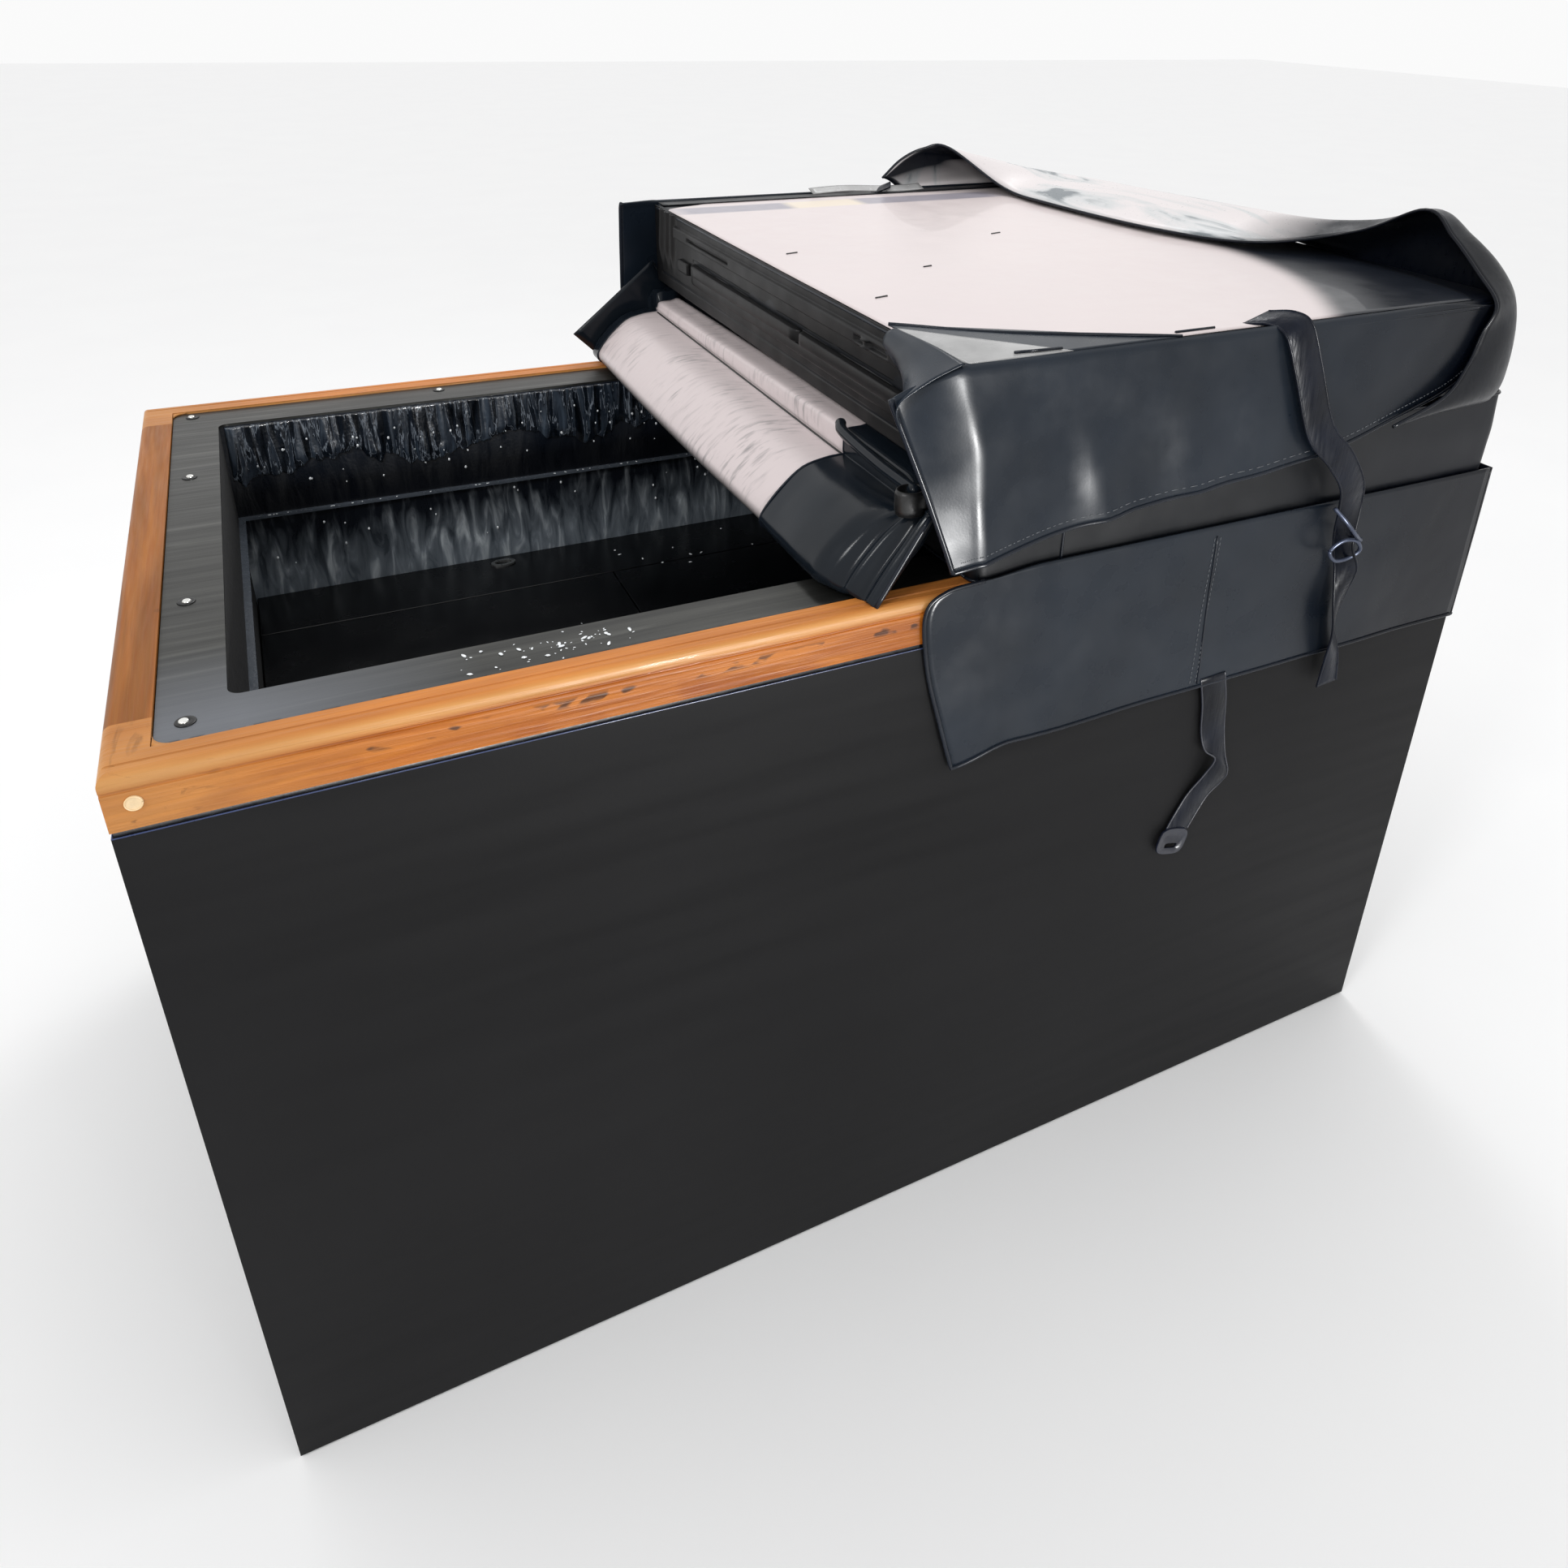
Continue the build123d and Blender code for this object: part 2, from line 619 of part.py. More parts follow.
with BuildPart() as thermostat_knob:
    knob_base_x = HALF_LENGTH - CUP_DEPTH + KNOB_LIFT
    bar_x(KNOB_Y, CONTROL_Z, KNOB_RADIUS, knob_base_x, knob_base_x + KNOB_DISC)
    fillet(thermostat_knob.edges().sort_by(Axis.X)[-1], KNOB_ROUND)
    box_between(
        (knob_base_x, KNOB_Y - GRIP_HALF[0], CONTROL_Z - GRIP_HALF[1]),
        (HALF_LENGTH - KNOB_LIFT, KNOB_Y + GRIP_HALF[0], CONTROL_Z + GRIP_HALF[1]),
    )
    bar_x(KNOB_Y, CONTROL_Z, SHAFT_RADIUS, HALF_LENGTH - CUP_DEPTH - CUP_WALL, knob_base_x)

SWITCH_BASE_X = 699
SWITCH_FLOOR_X = 702
SWITCH_PROUD = 1
ROCKER_X = 711
ROCKER_HALF = (12, 7)
ROCKER_WELL = (12.6, 9.2)
ROCKER_BACK = 5
ROCKER_TIP = 6
ROCKER_DIP = 4
ROCKER_BEVEL = 1
AXLE_RADIUS = 1.5
AXLE_HALF = 14.8
AXLE_GAP = 0.05

with BuildPart() as switch_housing:
    box_between(
        (SWITCH_BASE_X, SWITCH_Y - SWITCH_HALF[0] + FIT_GAP, CONTROL_Z - SWITCH_HALF[1] + FIT_GAP),
        (
            HALF_LENGTH + SWITCH_PROUD,
            SWITCH_Y + SWITCH_HALF[0] - FIT_GAP,
            CONTROL_Z + SWITCH_HALF[1] - FIT_GAP,
        ),
    )
    box_between(
        (SWITCH_FLOOR_X, SWITCH_Y - ROCKER_WELL[0], CONTROL_Z - ROCKER_WELL[1]),
        (HALF_LENGTH + SWITCH_PROUD, SWITCH_Y + ROCKER_WELL[0], CONTROL_Z + ROCKER_WELL[1]),
        mode=Mode.SUBTRACT,
    )
    axle_end = AXLE_HALF + FIT_GAP
    bar_y(
        ROCKER_X,
        CONTROL_Z,
        AXLE_RADIUS + AXLE_GAP,
        SWITCH_Y - axle_end,
        SWITCH_Y + axle_end,
        mode=Mode.SUBTRACT,
    )

with BuildPart() as power_rocker:
    with BuildSketch(Plane.XZ.offset(ROCKER_HALF[0] - SWITCH_Y)):
        with BuildLine():
            Polyline(
                (ROCKER_X - ROCKER_BACK, CONTROL_Z - ROCKER_HALF[1] + ROCKER_BEVEL),
                (ROCKER_X + ROCKER_TIP, CONTROL_Z - ROCKER_HALF[1]),
                (ROCKER_X + ROCKER_DIP, CONTROL_Z),
                (ROCKER_X + ROCKER_TIP, CONTROL_Z + ROCKER_HALF[1]),
                (ROCKER_X - ROCKER_BACK, CONTROL_Z + ROCKER_HALF[1] - ROCKER_BEVEL),
                close=True,
            )
        make_face()
    extrude(amount=-2 * ROCKER_HALF[0])
    bar_y(ROCKER_X, CONTROL_Z, AXLE_RADIUS, SWITCH_Y - AXLE_HALF, SWITCH_Y + AXLE_HALF)

INLET_DEPTH = 26
INLET_WELL = 17
INLET_WELL_HALF = (12, 8)
INLET_PROUD = 1
PIN_SPACING = 7
PIN_HALF = (1, 2)
PIN_SHIFT = -0.5
PIN_SINK = 4

with BuildPart() as power_inlet:
    box_between(
        (INLET_X - INLET_HALF[0] + FIT_GAP, HALF_DEPTH - INLET_DEPTH, INLET_Z - INLET_HALF[1] + FIT_GAP),
        (INLET_X + INLET_HALF[0] - FIT_GAP, HALF_DEPTH + INLET_PROUD, INLET_Z + INLET_HALF[1] - FIT_GAP),
    )
    box_between(
        (INLET_X - INLET_WELL_HALF[0], HALF_DEPTH - INLET_WELL, INLET_Z - INLET_WELL_HALF[1]),
        (INLET_X + INLET_WELL_HALF[0], HALF_DEPTH + INLET_PROUD, INLET_Z + INLET_WELL_HALF[1]),
        mode=Mode.SUBTRACT,
    )
    for pin in (-1, 0, 1):
        pin_x = INLET_X + pin * PIN_SPACING
        pin_z = INLET_Z + PIN_SHIFT + abs(pin)
        box_between(
            (pin_x - PIN_HALF[0], HALF_DEPTH - INLET_WELL, pin_z - PIN_HALF[1]),
            (pin_x + PIN_HALF[0], HALF_DEPTH - PIN_SINK, pin_z + PIN_HALF[1]),
        )

# ---------------------------------------------------------------- left end: drain

DRAIN_BODY = 12
DRAIN_BORE = 8
DRAIN_FLANGE = 18
DRAIN_FLANGE_DEPTH = 2.5
PLUG_HEAD = 13
PLUG_HEAD_DEPTH = 3.5
PLUG_STEM = 25
STEM_GAP = 0.05
HEAD_EDGE = 1.5

with BuildPart() as drain_fitting:
    flange_x = -HALF_LENGTH - DRAIN_FLANGE_DEPTH
    bar_x(DRAIN_Y, DRAIN_Z, DRAIN_BODY, -HALF_LENGTH, -TUB_X)
    bar_x(DRAIN_Y, DRAIN_Z, DRAIN_FLANGE, flange_x, -HALF_LENGTH)
    bar_x(DRAIN_Y, DRAIN_Z, DRAIN_BORE, flange_x, -TUB_X, mode=Mode.SUBTRACT)

with BuildPart() as drain_plug:
    bar_x(DRAIN_Y, DRAIN_Z, DRAIN_BORE - STEM_GAP, flange_x, PLUG_STEM - HALF_LENGTH)
    bar_x(DRAIN_Y, DRAIN_Z, PLUG_HEAD, flange_x - PLUG_HEAD_DEPTH, flange_x)
    fillet(drain_plug.edges().sort_by(Axis.X)[0], HEAD_EDGE)

# ---------------------------------------------------------------- cover, both halves


def rounded_slab(low_x, high_x, half_y, low_z, high_z, corner, mode=Mode.ADD):
    """A slab with rounded vertical corners."""
    with BuildSketch(Plane.XY.offset(low_z)) as section:
        with Locations(((low_x + high_x) / 2, 0)):
            RectangleRounded(high_x - low_x, 2 * half_y, corner)
    extrude(section.sketch, amount=high_z - low_z, mode=mode)


with BuildPart() as lower_cover:
    rounded_slab(*LOWER_X, LID_HALF_DEPTH, *LOWER_Z, LID_ROUND)
    rounded_slab(
        LOWER_X[0] + VINYL,
        LOWER_X[1] - VINYL,
        LID_HALF_DEPTH - VINYL,
        LOWER_Z[0],
        LOWER_Z[1] - VINYL,
        LID_ROUND - VINYL,
        mode=Mode.SUBTRACT,
    )

FOAM_CLEAR = 0.5

with BuildPart() as lower_film:
    rounded_slab(
        LOWER_X[0] + VINYL,
        LOWER_X[1] - VINYL,
        LID_HALF_DEPTH - VINYL,
        LOWER_Z[0],
        LOWER_Z[0] + FILM,
        LID_ROUND - VINYL,
    )

with BuildPart() as lower_foam_core:
    rounded_slab(
        LOWER_X[0] + VINYL + FOAM_CLEAR,
        LOWER_X[1] - VINYL - FOAM_CLEAR,
        LID_HALF_DEPTH - VINYL - FOAM_CLEAR,
        LOWER_Z[0] + FILM,
        LOWER_Z[1] - VINYL,
        LID_ROUND - VINYL - FOAM_CLEAR,
    )

PIPING_X = (0, 690)
PIPING_Z = (1040, 1046)
PIPING_REACH = 5

with BuildPart() as upper_cover:
    rounded_slab(*UPPER_X, LID_HALF_DEPTH, *UPPER_Z, LID_ROUND)
    rounded_slab(
        UPPER_X[0] + VINYL,
        UPPER_X[1] - VINYL,
        LID_HALF_DEPTH - VINYL,
        UPPER_Z[0] + VINYL,
        UPPER_Z[1],
        LID_ROUND - VINYL,
        mode=Mode.SUBTRACT,
    )
    for side in (-1, 1):
        low, high = sorted((side * LID_HALF_DEPTH, side * (LID_HALF_DEPTH + PIPING_REACH)))
        box_between((PIPING_X[0], low, PIPING_Z[0]), (PIPING_X[1], high, PIPING_Z[1]))

with BuildPart() as upper_film:
    rounded_slab(
        UPPER_X[0] + VINYL,
        UPPER_X[1] - VINYL,
        LID_HALF_DEPTH - VINYL,
        UPPER_Z[1] - FILM,
        UPPER_Z[1],
        LID_ROUND - VINYL,
    )

with BuildPart() as upper_foam_core:
    rounded_slab(
        UPPER_X[0] + VINYL + FOAM_CLEAR,
        UPPER_X[1] - VINYL - FOAM_CLEAR,
        LID_HALF_DEPTH - VINYL - FOAM_CLEAR,
        UPPER_Z[0] + VINYL,
        UPPER_Z[1] - FILM,
        LID_ROUND - VINYL - FOAM_CLEAR,
    )

CHANNEL_REACH = 10
CHANNEL_ROUND = 3
CHANNEL_Y = (-350, 395)
CHANNEL_Z = ((948, 958), (984, 998), (1020, 1034))

with BuildPart() as upper_end_channels:
    for low_z, high_z in CHANNEL_Z:
        box_between((UPPER_X[0] - CHANNEL_REACH, CHANNEL_Y[0], low_z), (UPPER_X[0], CHANNEL_Y[1], high_z))
    fillet(upper_end_channels.edges().filter_by(Axis.Y).group_by(Axis.X)[0], CHANNEL_ROUND)

STRIP_REACH_X = 60
STRIP_HALF_LENGTH = 418
STRIP_HALF_THICKNESS = 0.6

with BuildPart() as fold_hinge_strip:
    box_between(
        (HINGE_X, -STRIP_HALF_LENGTH, HINGE_Z - STRIP_HALF_THICKNESS),
        (STRIP_REACH_X, STRIP_HALF_LENGTH, HINGE_Z + STRIP_HALF_THICKNESS),
    )
    bar_y(HINGE_X, HINGE_Z, STRIP_HALF_THICKNESS, -STRIP_HALF_LENGTH, STRIP_HALF_LENGTH)

# ---------------------------------------------------------------- foam bolster that seals the fold


FLANGE_POINTS = ((0, 880), (0, 938), (-38, 938), (-42, 908), (-70, 897))
ROLL_POINTS = ((-70, 897), (-104, 874), (-129, 850), (-118, 832))
UNDERSIDE_POINTS = ((-60, 832), (-20, 845))
BOLSTER_SPLIT_Y = -231
SLEEVE_END_Y = 397
BOOT_ENDS_Y = (-408, 420)
BOOT_GAP = 0.3


def bolster(low_y, high_y):
    """Length of the bolster: a flat flange at the fold and a soft roll lying on the rim."""
    with BuildSketch(Plane.XZ.offset(-high_y)) as section:
        with BuildLine():
            flange = Polyline(*FLANGE_POINTS)
            roll = Spline(*ROLL_POINTS, tangents=((-1, -0.3), (1, 0)))
            Polyline(roll @ 1, *UNDERSIDE_POINTS, flange @ 0)
        make_face()
    extrude(section.sketch, amount=high_y - low_y)


with BuildPart() as hinge_bolster:
    bolster(BOLSTER_SPLIT_Y, SLEEVE_END_Y)

with BuildPart() as bolster_boots:
    bolster(BOOT_ENDS_Y[0], BOLSTER_SPLIT_Y - BOOT_GAP)
    bolster(SLEEVE_END_Y + BOOT_GAP, BOOT_ENDS_Y[1])

# ---------------------------------------------------------------- skirts of the lower half

SKIRT_TOP_Z = 845
SKIRT_END_BASE_Z = 648
SEAM_BASE_Z = 833
LOWER_SKIRT_POINTS = [
    (-11, 632),
    (15, 642),
    (LOWER_X[1], SKIRT_END_BASE_Z),
    (LOWER_X[1], SKIRT_TOP_Z),
    (6, SKIRT_TOP_Z),
    (6, 829),
    (-40, 829),
    (-53, 812),
]


def lower_side_skirt(side):
    """A front or back skirt: a sheet hanging outside the cabinet, joined to the cover above the rim."""
    outer_y = side * (SKIRT_Y + SKIRT)
    with BuildSketch(Plane.XZ.offset(-max(outer_y, side * SKIRT_Y))) as section:
        with BuildLine():
            Polyline(*LOWER_SKIRT_POINTS, close=True)
        make_face()
    extrude(section.sketch, amount=SKIRT)
    low, high = sorted((side * LID_HALF_DEPTH, side * SKIRT_Y))
    box_between(
        (LOWER_X[0] + LID_ROUND, low, SEAM_BASE_Z), (LOWER_X[1] - LID_ROUND, high, SKIRT_TOP_Z)
    )


with BuildPart() as lower_skirt_front:
    lower_side_skirt(-1)

with BuildPart() as lower_skirt_back:
    lower_side_skirt(1)

with BuildPart() as lower_skirt_end:
    box_between(
        (SKIRT_END_X, -LID_HALF_DEPTH, SKIRT_END_BASE_Z),
        (SKIRT_END_X + SKIRT, LID_HALF_DEPTH, SKIRT_TOP_Z),
    )
    seam_half = LID_HALF_DEPTH - LID_ROUND
    box_between((LOWER_X[1], -seam_half, SEAM_BASE_Z), (SKIRT_END_X, seam_half, SKIRT_TOP_Z))

STRAP_POINTS = [(310, 644), (344, 644), (362, 550), (378, 528), (330, 436), (300, 436), (345, 526), (328, 550)]
BUCKLE_POINTS = [(292, 436), (338, 436), (330, 408), (284, 408)]

with BuildPart() as lower_straps:
    for side in (-1, 1):
        outer_y = max(side * SKIRT_Y, side * (SKIRT_Y + SKIRT))
        for outline in (STRAP_POINTS, BUCKLE_POINTS):
            with BuildSketch(Plane.XZ.offset(-outer_y)):
                with BuildLine():
                    Polyline(*outline, close=True)
                make_face()
            extrude(amount=SKIRT)

# ---------------------------------------------------------------- skirts of the upper half

FLAP_OUTLINE = [
    (-26, 0),
    (-84, -24),
    (-40, -178),
    (70, -160),
    (210, -148),
    (390, -135),
    (500, -112),
    (575, -88),
    (616, -54),
    (634, 0),
]
BEAD_X = (-20, 630)
STRAP_BEND = (482, -320)
STRAP_END = (500, -440)
STRAP_TOP = (341, -4)
STRAP_LIFT = 0.2
BUCKLE_SIZE = (WEBBING + 12, 28)


def flap_plane(side, lift=0.0):
    """Plane of a skirt that hangs from the edge of the upper half, tilted a little outward."""
    tilt = radians(FLAP_TILT)
    normal = (0, side * cos(tilt), sin(tilt))
    across = (-side, 0, 0)
    plane = Plane(origin=(0, side * FLAP_HINGE_Y, FLAP_HINGE_Z), x_dir=across, z_dir=normal)
    return plane.offset(lift)


def upper_side_skirt(side):
    """A front or back skirt of the upper half with a bead along its hinge line."""
    with BuildSketch(flap_plane(side)) as section:
        with BuildLine():
            Polyline(*[(-side * x, y) for x, y in FLAP_OUTLINE], close=True)
        make_face()
    extrude(section.sketch, amount=FLAP_SHEET)
    bar_x(side * FLAP_HINGE_Y, FLAP_HINGE_Z, BEAD_RADIUS, *BEAD_X)


def upper_strap(side):
    """Webbing that lies on the skirt and hangs past it, with a buckle at its end."""
    half = WEBBING / 2
    path = [STRAP_TOP, STRAP_BEND, STRAP_END]
    left = [(-side * (x - half), y) for x, y in path]
    right = [(-side * (x + half), y) for x, y in reversed(path)]
    with BuildSketch(flap_plane(side, FLAP_SHEET + STRAP_LIFT)) as section:
        with BuildLine():
            Polyline(*left, *right, close=True)
        make_face()
        with Locations((-side * STRAP_END[0], STRAP_END[1] - BUCKLE_SIZE[1] / 2)):
            Rectangle(*BUCKLE_SIZE)
    extrude(section.sketch, amount=SKIRT)


with BuildPart() as upper_skirt_front:
    upper_side_skirt(-1)

with BuildPart() as upper_skirt_back:
    upper_side_skirt(1)

with BuildPart() as upper_strap_front:
    upper_strap(-1)

with BuildPart() as upper_strap_back:
    upper_strap(1)

CURL_Y = (-375, 400)
CURL_FREE_EDGE = (540, 1062)

with BuildPart() as upper_skirt_end:
    with BuildSketch(Plane.XZ.offset(-CURL_Y[1])):
        with BuildLine():
            rise = CenterArc((CURL_HINGE_X - CURL_RADIUS, FLAP_HINGE_Z), CURL_RADIUS, 0, 90)
            TangentArc(rise @ 1, CURL_FREE_EDGE, tangent=rise % 1)
        trace(line_width=FLAP_SHEET)
    extrude(amount=CURL_Y[1] - CURL_Y[0])
    bar_y(CURL_HINGE_X, FLAP_HINGE_Z, BEAD_RADIUS, *CURL_Y)

# ---------------------------------------------------------------- write every sub-part

PIECES = {
    "base_pan": base_pan,
    "glide_feet": glide_feet,
    "front_panel": front_panel,
    "back_panel": back_panel,
    "left_panel": left_panel,
    "right_panel": right_panel,
    "rail_front": rail_front,
    "rail_back": rail_back,
    "rail_left": rail_left,
    "rail_right": rail_right,
    "rail_plugs": rail_plugs,
    "deck_plate": deck_plate,
    "deck_screws": deck_screws,
    "liner_back_wall": liner_back_wall,
    "liner_front_wall": liner_front_wall,
    "liner_left_wall": liner_left_wall,
    "liner_right_wall": liner_right_wall,
    "liner_floor": liner_floor,
    "liner_step": liner_step,
    "liner_ledge": liner_ledge,
    "floor_panel_back": floor_panel_back,
    "floor_panel_left": floor_panel_left,
    "floor_hatch": floor_hatch,
    "floor_bearers": floor_bearers,
    "finger_pull": finger_pull,
    "insulation_block": insulation_block,
    "evaporator_tube": evaporator_tube,
    "condenser_tube": condenser_tube,
    "compressor": compressor,
    "compressor_grommets": compressor_grommets,
    "start_relay_cover": start_relay_cover,
    "refrigerant_pipes": refrigerant_pipes,
    "filter_drier": filter_drier,
    "vent_grille": vent_grille,
    "thermostat_housing": thermostat_housing,
    "thermostat_knob": thermostat_knob,
    "switch_housing": switch_housing,
    "power_rocker": power_rocker,
    "power_inlet": power_inlet,
    "drain_fitting": drain_fitting,
    "drain_plug": drain_plug,
    "lower_cover": lower_cover,
    "lower_film": lower_film,
    "lower_foam_core": lower_foam_core,
    "upper_cover": upper_cover,
    "upper_film": upper_film,
    "upper_foam_core": upper_foam_core,
    "upper_end_channels": upper_end_channels,
    "fold_hinge_strip": fold_hinge_strip,
    "hinge_bolster": hinge_bolster,
    "bolster_boots": bolster_boots,
    "lower_skirt_front": lower_skirt_front,
    "lower_skirt_back": lower_skirt_back,
    "lower_skirt_end": lower_skirt_end,
    "lower_straps": lower_straps,
    "upper_skirt_front": upper_skirt_front,
    "upper_skirt_back": upper_skirt_back,
    "upper_skirt_end": upper_skirt_end,
    "upper_strap_front": upper_strap_front,
    "upper_strap_back": upper_strap_back,
}

for name, piece in PIECES.items():
    piece.part.label = name
    export_step(piece.part, f"parts/{name}.step")
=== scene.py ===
"""Looks of a chest freezer with a timber rim and a folding vinyl cover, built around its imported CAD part.

Metres, +X to the right along the length, -Y to the front, +Z up, as in the CAD part.
"""

import math
import random

import bpy
from mathutils import Matrix, Vector, noise


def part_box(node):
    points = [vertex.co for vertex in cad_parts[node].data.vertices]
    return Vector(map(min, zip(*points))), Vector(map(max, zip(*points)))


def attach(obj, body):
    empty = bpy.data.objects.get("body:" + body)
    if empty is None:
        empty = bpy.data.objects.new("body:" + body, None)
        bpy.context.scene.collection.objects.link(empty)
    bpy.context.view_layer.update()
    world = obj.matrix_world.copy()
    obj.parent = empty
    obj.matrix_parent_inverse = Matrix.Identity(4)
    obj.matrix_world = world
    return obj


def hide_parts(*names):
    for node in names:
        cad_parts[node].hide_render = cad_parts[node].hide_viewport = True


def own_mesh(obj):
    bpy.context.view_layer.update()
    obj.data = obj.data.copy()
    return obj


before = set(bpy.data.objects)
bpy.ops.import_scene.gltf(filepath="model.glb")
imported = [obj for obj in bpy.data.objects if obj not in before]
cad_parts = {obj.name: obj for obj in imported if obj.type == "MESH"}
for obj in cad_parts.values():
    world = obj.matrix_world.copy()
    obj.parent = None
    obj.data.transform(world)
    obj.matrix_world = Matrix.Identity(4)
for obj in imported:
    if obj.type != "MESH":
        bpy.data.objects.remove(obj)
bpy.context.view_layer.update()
scene = bpy.context.scene

# -------------------------------- places, from the frame where a CAD part has them

DECK_LOW, DECK_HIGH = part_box("deck_plate")
BACK_WALL_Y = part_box("liner_back_wall")[0].y
TUB_LEFT_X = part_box("liner_left_wall")[1].x
TUB_RIGHT_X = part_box("liner_right_wall")[0].x
TUB_FRONT_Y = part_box("liner_front_wall")[1].y
LEDGE_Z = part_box("liner_ledge")[1].z
FLOOR_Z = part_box("floor_panel_back")[1].z
LOWER_LOW, LOWER_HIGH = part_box("lower_cover")
UPPER_LOW_Z, UPPER_HIGH_Z = (corner.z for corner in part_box("upper_cover"))
RAIL_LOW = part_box("rail_front")[0]
FOLD_X = -0.026
RIGHT_X = 0.700
SIDE_Y = 0.424
FLAP_Y = 0.4325
FLAP_Z = 1.046
SKIRT_TOP_Z = 0.845
LOWER_SKIRT_Y = 0.4286
LOWER_SKIRT_RIGHT_X = 0.7135
LOWER_SKIRT_DROP = 0.197
LOWER_CORNER = 0.014
UPPER_CORNERS = (0.010, 0.045)
SHEET_THICK = 0.0019


# ---------------------------------------------------------------- camera, lights and floor

CAMERA_PLACE = Vector((-0.5494, -1.2503, 1.3450))
CAMERA_AZIMUTH = math.radians(26.811)
CAMERA_DOWN = math.radians(25.546)
CAMERA_ROLL = math.radians(1.575)
CAMERA_LENS = 27.04
CAMERA_SHIFT = (-0.0402, -0.1531)


def add_camera():
    """The camera at its viewing angle, slightly rolled."""
    down = CAMERA_DOWN
    forward = Vector((
        math.sin(CAMERA_AZIMUTH) * math.cos(down),
        math.cos(CAMERA_AZIMUTH) * math.cos(down),
        -math.sin(down),
    ))
    level_right = forward.cross(Vector((0, 0, 1))).normalized()
    level_up = level_right.cross(forward)
    turn = Matrix.Rotation(-CAMERA_ROLL, 3, forward)
    right, up = turn @ level_right, turn @ level_up
    pose = Matrix((right, up, -forward)).transposed().to_4x4()
    pose.translation = CAMERA_PLACE
    data = bpy.data.cameras.new("camera")
    data.sensor_width = 36
    data.lens = CAMERA_LENS
    data.shift_x, data.shift_y = CAMERA_SHIFT
    data.clip_start = 0.05
    camera = bpy.data.objects.new("camera", data)
    camera.matrix_world = pose
    scene.collection.objects.link(camera)
    scene.camera = camera


def add_light(name, place, target, size, power):
    """A soft rectangular light at a place, turned to a target."""
    data = bpy.data.lights.new(name, "AREA")
    data.shape = "RECTANGLE"
    data.size, data.size_y = size
    data.energy = power
    light = bpy.data.objects.new(name, data)
    light.location = place
    light.rotation_euler = (Vector(target) - Vector(place)).to_track_quat("-Z", "Y").to_euler()
    scene.collection.objects.link(light)
    return light


def add_studio():
    """White surroundings, two soft lights, a narrow one that only glints on gloss, and a pale floor."""
    scene.view_settings.view_transform = "Standard"
    world = bpy.data.worlds.new("studio")
    world.use_nodes = True
    world.node_tree.nodes["Background"].inputs["Color"].default_value = (1, 1, 1, 1)
    world.node_tree.nodes["Background"].inputs["Strength"].default_value = 0.96
    scene.world = world
    add_light("key", (-2.4, -1.6, 2.9), (0, 0, 0.9), (0.6, 0.6), 26)
    add_light("top", (0.9, 1.3, 2.8), (0.2, 0, 0.9), (0.9, 0.5), 16)
    streak = add_light("streak", (0.30, -2.7, 0.75), (0.1, -0.43, 0.95), (0.16, 1.1), 170)
    streak.visible_diffuse = False
    bpy.ops.mesh.primitive_plane_add(size=40)
    floor = bpy.context.object
    floor.name = "studio_floor"
    finish = Finish("studio_floor", roughness=0.9)
    finish.colour(finish.ramp(finish.noise(3), [(0, (0.91, 0.91, 0.915)), (1, (0.94, 0.94, 0.94))]))
    floor.data.materials.append(finish.material)


# ---------------------------------------------------------------- materials


def tone(red, green, blue):
    """A screen colour, 0 to 255, as the linear colour that shaders use."""
    values = []
    for value in (red, green, blue):
        share = value / 255
        values.append(share / 12.92 if share <= 0.04045 else ((share + 0.055) / 1.055) ** 2.4)
    return tuple(values)


